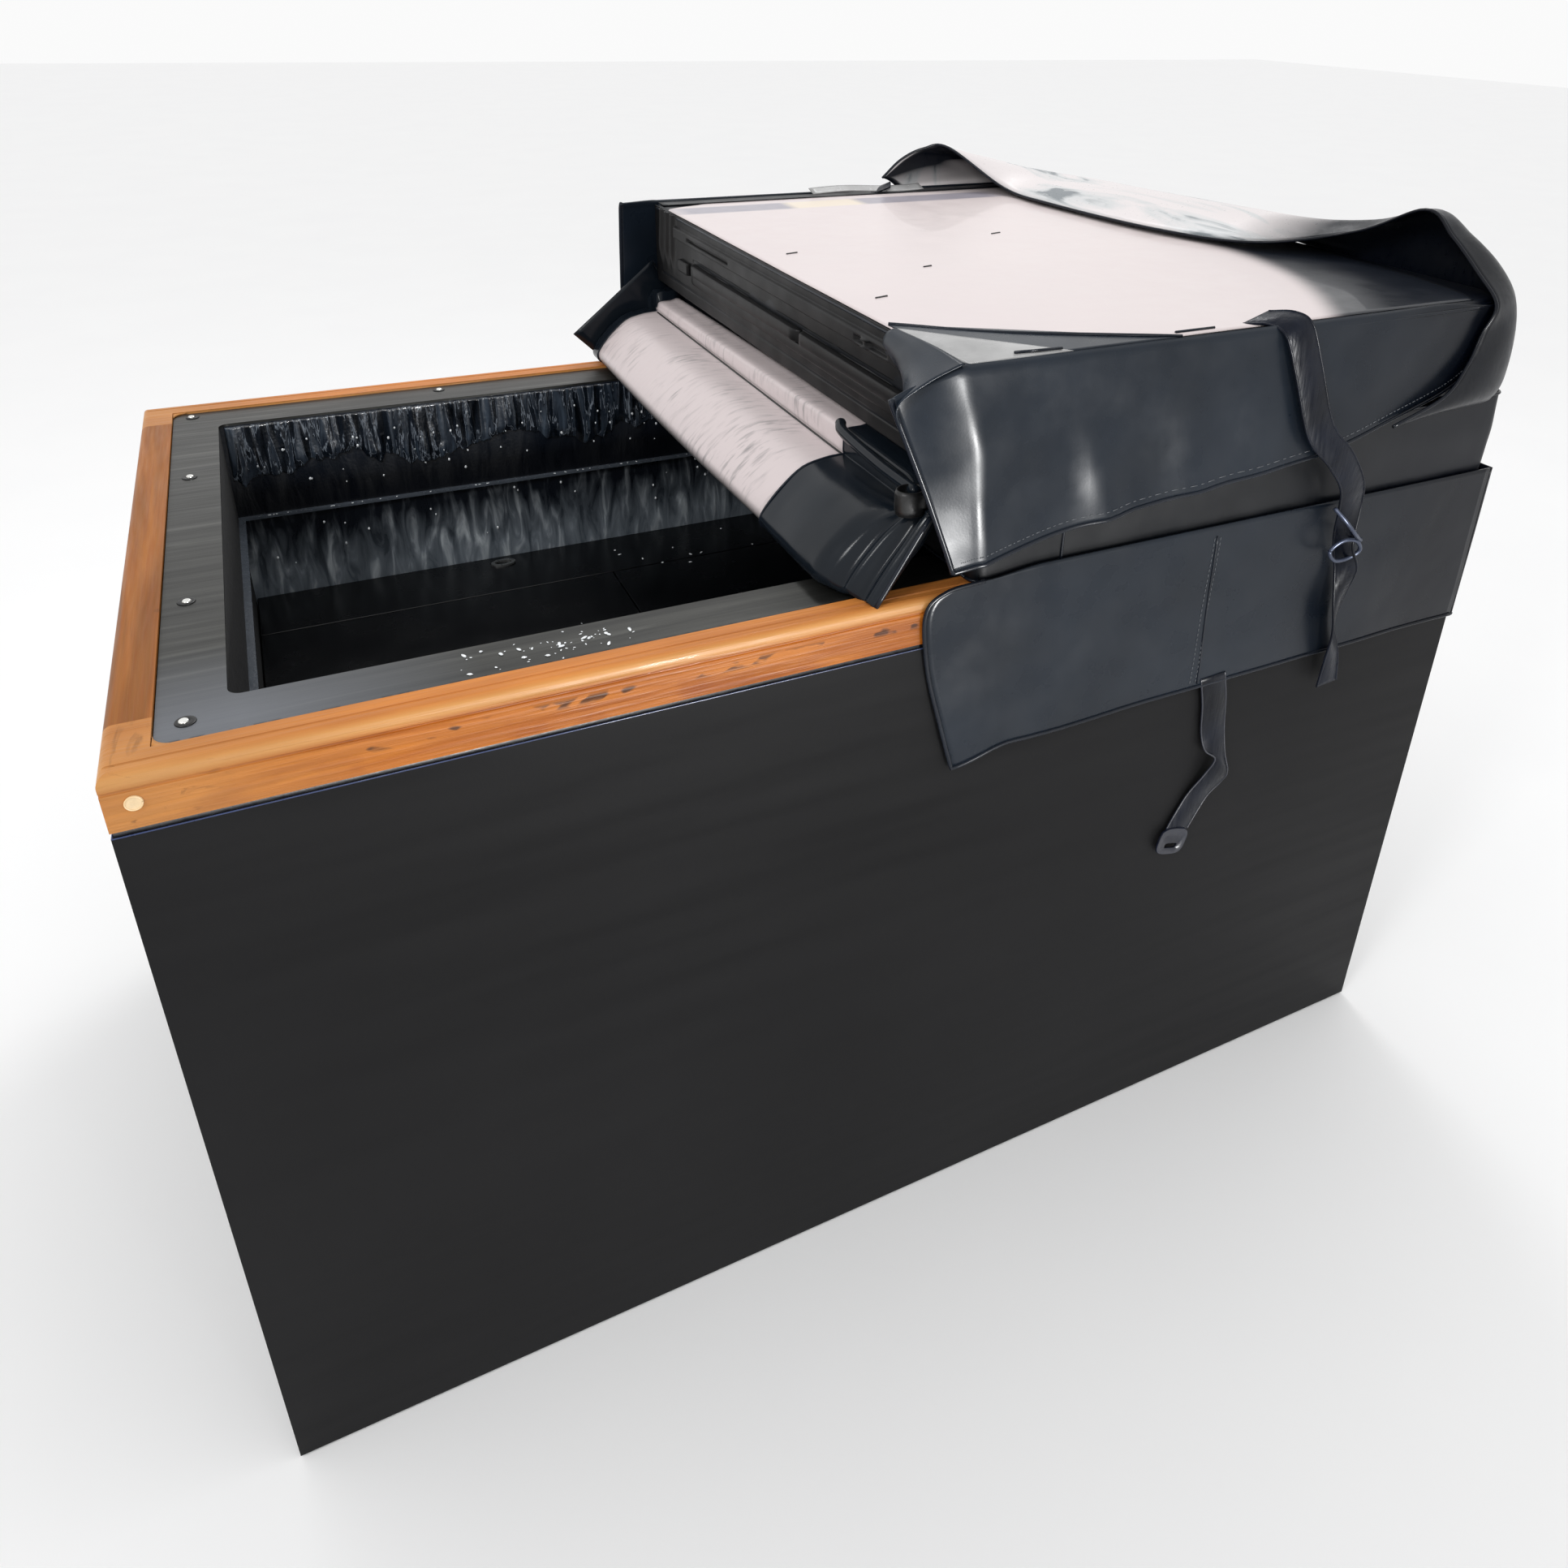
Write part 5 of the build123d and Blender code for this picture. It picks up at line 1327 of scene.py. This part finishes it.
def add_corner_fold(dark, pale, seam):
    """The vinyl folded over the film at the front left corner, its roll, a pale inset painted as a highlight,
    hem and two slots.
    """
    z = UPPER_HIGH_Z + 0.0012
    back, corner, right = (-0.024, -0.285), (-0.022, -0.4225), (0.215, -0.4225)

    def triangle(a, b, c, lift, rows, bend):
        grid = []
        for row in range(rows):
            share = row / (rows - 1)
            start, end = Vector(a).lerp(Vector(b), share), Vector(a).lerp(Vector(c), share)
            line = []
            for column in range(rows):
                across = column / (rows - 1)
                spot = start.lerp(end, max(0.02, across) if row == 0 else across)
                puff = bend * math.sin(math.pi * across) * math.sin(math.pi * min(1, share * 1.02))
                line.append(Vector((spot.x, spot.y, z + lift + puff)))
            grid.append(line)
        grid[0] = [p + Vector((0.0008 * n / rows, -0.0008, 0)) for n, p in enumerate(grid[0])]
        return grid

    fold = add_sheet("corner_fold", triangle(back, corner, right, 0.0, 26, 0.0016), 0.0012, dark)
    place(fold, "lid_fold", "vinyl")
    roll = patch([
        [(-0.0310, -0.290, 1.0300), (-0.0325, -0.292, 1.0400),
         (-0.0305, -0.296, 1.0480), (-0.0250, -0.300, 1.0520)],
        [(-0.0350, -0.335, 1.0180), (-0.0420, -0.338, 1.0340),
         (-0.0370, -0.342, 1.0480), (-0.0270, -0.345, 1.0550)],
        [(-0.0500, -0.380, 1.0060), (-0.0600, -0.384, 1.0240),
         (-0.0500, -0.390, 1.0440), (-0.0290, -0.392, 1.0570)],
        [(-0.0820, -0.424, 0.9960), (-0.0885, -0.4255, 1.0220),
         (-0.0620, -0.430, 1.0420), (-0.0300, -0.434, 1.0560)],
    ], 10, 10)
    place(add_sheet("corner_roll", roll, 0.0012, dark), "lid_fold", "vinyl")
    # painted highlight: the pale inset stands in for light on the vinyl
    inset = triangle((-0.025, -0.304), (-0.024, -0.430), (0.088, -0.426), 0.0014, 24, 0.0030)
    place(add_sheet("corner_inset_highlight", inset, 0.0008, pale), "lid_fold", "vinyl")
    edge = curved([(*back, z + 0.001), (0.06, -0.352, z + 0.002), (*right, z + 0.001)], 12)
    place(add_tube("corner_fold_hem", edge, 0.0018, seam), "lid_fold", "vinyl")
    slots = [
        [Vector((0.055 + 0.024 * t, -0.419 - 0.002 * t, z + 0.0035)) for t in (-1, 0, 1)],
        [Vector((0.245 + 0.024 * t, -0.406, z)) for t in (-1, 0, 1)],
    ]
    place(add_tubes("corner_slots", slots, 0.0014, seam), "lid_fold", "vinyl")


def add_back_border(dark, pale):
    """The vinyl border along the back of the film, with a pocket flap that stands up a little."""
    z = UPPER_HIGH_Z
    lifted = z + 0.0012
    grid = []
    for row in range(6):
        y = 0.398 + 0.026 * row / 5
        grid.append([
            Vector((FOLD_X + 0.004 + 0.66 * n / 80, y, lifted + 0.0010 * ripple(n * 0.02, y, 1, 4)))
            for n in range(81)
        ])
    place(add_sheet("back_border", grid, 0.0011, dark), "lid_fold", "vinyl")
    grid = []
    for row in range(6):
        share = row / 5
        y, height = 0.424 - 0.018 * share, z + 0.010 - 0.006 * share
        grid.append([Vector((0.215 + 0.19 * n / 24, y, height + 0.002 * math.sin(n / 4))) for n in range(25)])
    place(add_sheet("back_pocket_flap", grid, 0.0012, pale), "lid_fold", "vinyl")


# ---------------------------------------------------------------- cover: skirts of the upper half


FLAP_TILT = math.radians(5)


def flap_point(x, drop, side, proud=0.0):
    """A place on a skirt of the upper half: along the edge, down the skirt, and how far it stands out."""
    out = drop * math.sin(FLAP_TILT) + 0.0011 + proud - 60 * min(drop, 0) ** 2
    return Vector((x, side * (FLAP_Y + out), FLAP_Z - drop * math.cos(FLAP_TILT)))


def flap_relief(x, share, side):
    """Waves of a skirt: a ridge below the fold corner, soft vertical folds, drawn in at the far end."""
    crease = -0.024 + 0.012 * share
    span = 0.030 if x < crease else 0.080
    relief = 0.0125 * math.exp(-abs(x - crease) / span) * smooth_step(share, 0.0, 0.45)
    relief += 0.0065 * hump(x, 0.080 + 0.05 * share, 0.022) * smooth_step(share, 0.25, 0.85)
    relief += 0.0048 * hump(x, 0.190 + 0.05 * share, 0.026) * smooth_step(share, 0.15, 0.8)
    relief += 0.0026 * hump(x, 0.300 + 0.02 * share, 0.030) * smooth_step(share, 0.1, 0.8)
    relief -= 0.0085 * smooth_step(x, 0.42, 0.60) * (0.3 + 0.7 * share)
    relief += 0.0010 * ripple(x, share * 0.2, side, 16)
    relief -= 0.021 * smooth_step(-x, 0.026, 0.090) * (1 - share)
    return max(-0.0075 if x > FOLD_X else -0.02, relief) * (1 if side < 0 else 0.6)


def flap_edges(side):
    """The upper and lower edges of a skirt, as (x, drop) pairs of equal count."""
    if side < 0:
        top = curved([(-0.090, 0.020, 0), (-0.058, 0.004, 0), (-0.028, -0.009, 0)], 6)
        low = curved([(-0.040, 0.178, 0), (-0.030, 0.176, 0), (-0.018, 0.173, 0)], 6)
    else:
        top = curved([(-0.078, -0.008, 0), (-0.052, -0.008, 0), (-0.028, -0.008, 0)], 6)
        low = curved([(-0.076, 0.120, 0), (-0.045, 0.150, 0), (-0.018, 0.170, 0)], 6)
    count = 110
    hem = curved(
        [(-0.018, 0.173, 0), (0.070, 0.159, 0), (0.210, 0.148, 0), (0.390, 0.134, 0), (0.500, 0.112, 0),
         (0.588, 0.090, 0), (0.638, 0.056, 0), (0.656, 0.004, 0)], 24,
    )
    for step in range(1, count + 1):
        share = step / count
        top.append(Vector((-0.028 + 0.684 * share, -0.0075 * (1 - smooth_step(share, 0.85, 1.0)), 0)))
        low.append(hem[round(share * (len(hem) - 1))])
    return top, low


def add_side_flap(side, body, name, node, dark, seam, stitch):
    """A front or back skirt of the upper half with its hem, edge bead and stitches."""
    top, low = flap_edges(side)
    rows = 34
    grid = []
    for row in range(rows):
        share = row / (rows - 1)
        line = []
        for upper, lower in zip(top, low):
            spot = upper.lerp(lower, share)
            line.append(flap_point(spot.x, spot.y, side, flap_relief(spot.x, share, side)))
        grid.append(line)
    flap = place(add_sheet(name, grid, 0.0020, dark), body, "vinyl", node)
    out = Vector((0, side * 0.0004, 0))
    hem = place(add_tube(name + "_hem", [point + out for point in grid[-1]], 0.0020, seam), body, "vinyl")
    left = [line[0] + out for line in grid]
    piping = place(add_tube(name + "_piping", left, 0.0026, seam), body, "vinyl")
    thread = []
    for step in range(4, len(low) - 22):
        ends = []
        for part in (0.25, 0.80):
            spot = low[step].lerp(low[step + 1], part)
            lifted = Vector((spot.x, spot.y - 0.0085, 0))
            relief = flap_relief(lifted.x, 0.95, side)
            ends.append(flap_point(lifted.x, lifted.y, side, relief + 0.0012))
        thread.append(ends)
    stitches = place(add_tubes(name + "_stitches", thread, 0.0004, stitch, sides=6), body, "webbing")
    bead_path = [Vector((-0.020 + 0.64 * n / 60, side * FLAP_Y, FLAP_Z)) for n in range(61)]
    place(add_tube(name + "_hinge_bead", bead_path, 0.0018, dark), body, "vinyl")


CURL_ROWS = [
    [(0.540, -0.4435, 0.9350), (0.531, -0.4460, 0.9345), (0.522, -0.4480, 0.9340),
     (0.512, -0.4495, 0.9335), (0.500, -0.4500, 0.9325)],
    [(0.645, -0.4370, 0.9360), (0.640, -0.4440, 0.9430), (0.626, -0.4490, 0.9500),
     (0.604, -0.4510, 0.9550), (0.570, -0.4500, 0.9570)],
    [(0.681, -0.4270, 0.9360), (0.681, -0.4350, 0.9540), (0.669, -0.4410, 0.9740),
     (0.645, -0.4440, 0.9880), (0.605, -0.4430, 0.9870)],
    [(0.694, -0.4080, 0.9360), (0.698, -0.4170, 0.9680), (0.692, -0.4280, 1.0030),
     (0.670, -0.4350, 1.0210), (0.622, -0.4385, 1.0180)],
    [(0.697, -0.3850, 0.9380), (0.704, -0.3960, 0.9850), (0.701, -0.4090, 1.0310),
     (0.681, -0.4220, 1.0520), (0.636, -0.4365, 1.0480)],
    [(0.700, -0.3550, 0.9440), (0.708, -0.3660, 1.0000), (0.707, -0.3790, 1.0570),
     (0.687, -0.3900, 1.0790), (0.648, -0.3960, 1.0740)],
    [(0.703, -0.3180, 0.9560), (0.712, -0.3270, 1.0150), (0.709, -0.3400, 1.0760),
     (0.689, -0.3490, 1.1020), (0.655, -0.3500, 1.1030)],
    [(0.707, -0.2700, 0.9800), (0.715, -0.2760, 1.0330), (0.711, -0.2860, 1.0880),
     (0.690, -0.3000, 1.1200), (0.655, -0.3080, 1.1260)],
    [(0.709, -0.1950, 1.0150), (0.712, -0.2000, 1.0540), (0.703, -0.2080, 1.0850),
     (0.683, -0.2180, 1.0970), (0.655, -0.2200, 1.0860)],
    [(0.708, -0.1200, 1.0400), (0.709, -0.1220, 1.0640), (0.692, -0.1270, 1.0800),
     (0.648, -0.1330, 1.0840), (0.580, -0.1330, 1.0610)],
    [(0.706, 0.0000, 1.0460), (0.706, 0.0000, 1.0650), (0.680, 0.0000, 1.0775),
     (0.612, 0.0000, 1.0810), (0.527, 0.0000, 1.0575)],
    [(0.706, 0.2000, 1.0460), (0.704, 0.2000, 1.0620), (0.670, 0.2020, 1.0720),
     (0.598, 0.2060, 1.0770), (0.507, 0.2150, 1.0570)],
    [(0.706, 0.3200, 1.0460), (0.702, 0.3220, 1.0600), (0.662, 0.3260, 1.0700),
     (0.585, 0.3300, 1.0770), (0.505, 0.3330, 1.0620)],
    [(0.704, 0.4050, 1.0460), (0.697, 0.4100, 1.0590), (0.630, 0.4150, 1.0700),
     (0.530, 0.4160, 1.0920), (0.450, 0.4120, 1.1130)],
    [(0.670, 0.4310, 1.0460), (0.660, 0.4380, 1.0570), (0.600, 0.4420, 1.0740),
     (0.510, 0.4420, 1.0960), (0.415, 0.4300, 1.1110)],
    [(0.520, 0.4310, 1.0460), (0.514, 0.4390, 1.0560), (0.490, 0.4420, 1.0710),
     (0.445, 0.4420, 1.0870), (0.380, 0.4370, 1.0950)],
    [(0.376, 0.4310, 1.0460), (0.374, 0.4350, 1.0520), (0.368, 0.4370, 1.0580),
     (0.359, 0.4380, 1.0640), (0.348, 0.4380, 1.0680)],
]


def add_end_curl(finish, seam):
    """The end skirt, rolled up and inward, with the cowls it makes round both corners."""
    grid = patch(CURL_ROWS, 6, 9)
    curl = place(add_sheet("end_curl", grid, 0.0021, finish), "flap_end", "vinyl", "upper_skirt_end")
    hem = place(add_tube("end_curl_hem", [row[-1] for row in grid], 0.0019, seam), "flap_end", "vinyl")


def add_upper_strap(side, body, name, finish, metal, node):
    """Webbing laid over the skirt, pinched by a pin below it, with a twisted tail."""

    def station(x, out, z, lean, turn=0.0, half=0.0165):
        across = Vector((math.cos(lean), 0, math.sin(lean)))
        spun = math.cos(turn) * across + math.sin(turn) * Vector((0, 1, 0))
        return Vector((x, side * out, z)), Vector((spun.x, side * spun.y, spun.z)) * half

    stations = [
        station(0.326, 0.4010, 1.0545, 0.30), station(0.338, 0.4230, 1.0580, 0.30),
        station(0.346, 0.4400, 1.0500, 0.30), station(0.360, 0.4480, 1.0120, 0.32),
        station(0.388, 0.4540, 0.9450, 0.36), station(0.420, 0.4580, 0.9120, 0.34),
        station(0.449, 0.4560, 0.8780, 0.10), station(0.462, 0.4500, 0.8480, -0.05),
        station(0.466, 0.4470, 0.8170, 0.0, 0.5, 0.0110),
        station(0.470, 0.4460, 0.7960, 0.0, 1.0, 0.0100), station(0.484, 0.4450, 0.7640, 0.1, 0.5, 0.0120),
        station(0.486, 0.4440, 0.7250, 0.1, -0.3, 0.0130), station(0.490, 0.4420, 0.6850, 0.1, -0.7, 0.0110),
        station(0.500, 0.4400, 0.6450, 0.1, -0.2, 0.0130), station(0.504, 0.4390, 0.6060, 0.1, 0.0, 0.0150),
    ]
    place(add_ribbon(name, stations, 0.0019, finish), body, "webbing", node)
    place(add_ribbon_edges(name + "_edges", stations, 0.0014, finish), body, "webbing")
    pin = curved([
        (0.436, side * 0.452, 0.850), (0.446, side * 0.463, 0.836), (0.462, side * 0.464, 0.820),
        (0.482, side * 0.456, 0.806), (0.490, side * 0.450, 0.803),
    ], 8)
    loop = closed_curve([
        (0.446, side * 0.4500, 0.796), (0.458, side * 0.4540, 0.808), (0.476, side * 0.4560, 0.806),
        (0.488, side * 0.4540, 0.792), (0.478, side * 0.4500, 0.782), (0.458, side * 0.4490, 0.782),
    ], 6)
    place(add_tubes(name + "_pin", [pin, [*loop, loop[0]]], 0.0023, metal), body, "webbing")


# ---------------------------------------------------------------- cover: small parts at the ends of the fold


def add_fold_fittings(dark, rubber):
    """The socket ring and the channel bar beside the front boot, and the flap at the far end."""
    centre = Vector((-0.056, -0.400, 0.919))
    sides = 32
    profile = [
        (0.0145, -0.010), (0.0158, -0.004), (0.0158, 0.010),
        (0.0148, 0.014), (0.0122, 0.014), (0.0110, 0.003),
    ]
    turns = [2 * math.pi * side / sides for side in range(sides)]
    rings = []
    for radius, lift in profile:
        rings.append([
            centre + Vector((radius * math.cos(turn), radius * 0.8 * math.sin(turn), lift)) for turn in turns
        ])
    socket = place(add_loft("fold_socket", rings, rubber), "lid_base", "rubber")
    squeeze(socket)
    bar_path = curved([
        (-0.044, -0.228, 0.937), (-0.050, -0.250, 0.934), (-0.052, -0.330, 0.930), (-0.050, -0.400, 0.928),
    ], 10)
    bar = place(add_tube("fold_channel", bar_path, 0.0058, dark, sides=14), "lid_base", "vinyl")
    squeeze(bar)
    grid = []
    for row in range(14):
        share = row / 13
        start = Vector((-0.010, 0.424, 0.925)).lerp(Vector((-0.112, 0.424, 0.826)), share)
        end = Vector((-0.034, 0.424, 0.972)).lerp(Vector((-0.158, 0.424, 0.872)), share)
        grid.append([
            start.lerp(end, n / 9) + Vector((0, 0.0012 * math.sin(3 * share + n * 0.4), 0)) for n in range(10)
        ])
    far = place(add_sheet("fold_far_flap", grid, 0.0016, dark), "lid_base", "vinyl")
    squeeze(far)


# ---------------------------------------------------------------- everything together


def build():
    """Make the whole scene."""
    add_camera()
    add_studio()
    dress_cabinet()
    slate = vinyl("vinyl_slate", tone(27, 35, 45), gloss=0.26)
    deep = vinyl("vinyl_deep", tone(16, 19, 24), gloss=0.36)
    face = vinyl("vinyl_face", tone(20, 20, 21), gloss=0.4, grain=1.5)
    boot = vinyl("vinyl_boot", tone(20, 26, 33), gloss=0.16)
    bead = vinyl("vinyl_bead", tone(26, 31, 40), gloss=0.24)
    # pale grey vinyl; on the corner inset it is a painted highlight
    pale = plain_surface("vinyl_pale", tone(150, 150, 150), 0.25, scale=14, spread=0.35)
    rubber = plain_surface("rubber", tone(12, 12, 13), 0.4)
    # dark strip painted as the shadow in the gap under the timber
    gap = plain_surface("gap_shadow_strip", tone(7, 10, 20), 0.5)
    ice = plain_surface("ice", tone(236, 240, 244), 0.15, scale=300)
    thread = plain_surface("thread", tone(86, 90, 96), 0.6, scale=400)
    strap = webbing("webbing")
    metal = plain_surface("strap_tab", tone(14, 20, 38), 0.36)
    bright = plain_surface("strap_pin", tone(60, 68, 88), 0.35, metallic=0.4)

    add_screw_rings(rubber)
    # painted shadow in the rail gap and a painted highlight line on the panels' top edge
    add_rail_gap_shadow(gap, plain_surface("panel_edge_highlight", tone(58, 72, 112), 0.3))
    add_plug_rims(plain_surface("plug_rim", tone(238, 206, 156), 0.4))
    add_deck_corners(timber("timber_fillet", "X"))
    add_frost_curtain(frost("frost"))
    add_ice_flecks(ice)
    add_hanging_drops(ice)

    add_lower_half(deep, bead)
    add_hinge_strip(deep)
    for side, word in ((-1, "front"), (1, "back")):
        add_lower_side_skirt(
            side, f"lower_skirt_{word}_sheet", f"lower_skirt_{word}", slate, bead, thread
        )
        nodes = ("lower_straps",) if side < 0 else ()
        add_lower_strap(side, f"lower_strap_{word}", strap, metal, *nodes)
        add_side_flap(
            side, f"flap_{word}", f"{word}_flap", f"upper_skirt_{word}", slate, bead, thread
        )
        upper_strap = f"upper_strap_{word}"
        add_upper_strap(side, f"flap_{word}", upper_strap + "_webbing", strap, bright, upper_strap)
    add_lower_end_skirt(slate, bead)
    add_bolster(white_sleeve("white_sleeve"), boot, bead, rubber)
    add_fold_fittings(boot, rubber)
    add_upper_panel(deep, bead)
    add_fold_face(face)
    add_film(film("film"), rubber)
    add_corner_fold(slate, pale, bead)
    add_back_border(deep, pale)
    add_end_curl(curl_sheet("curl"), bead)


build()
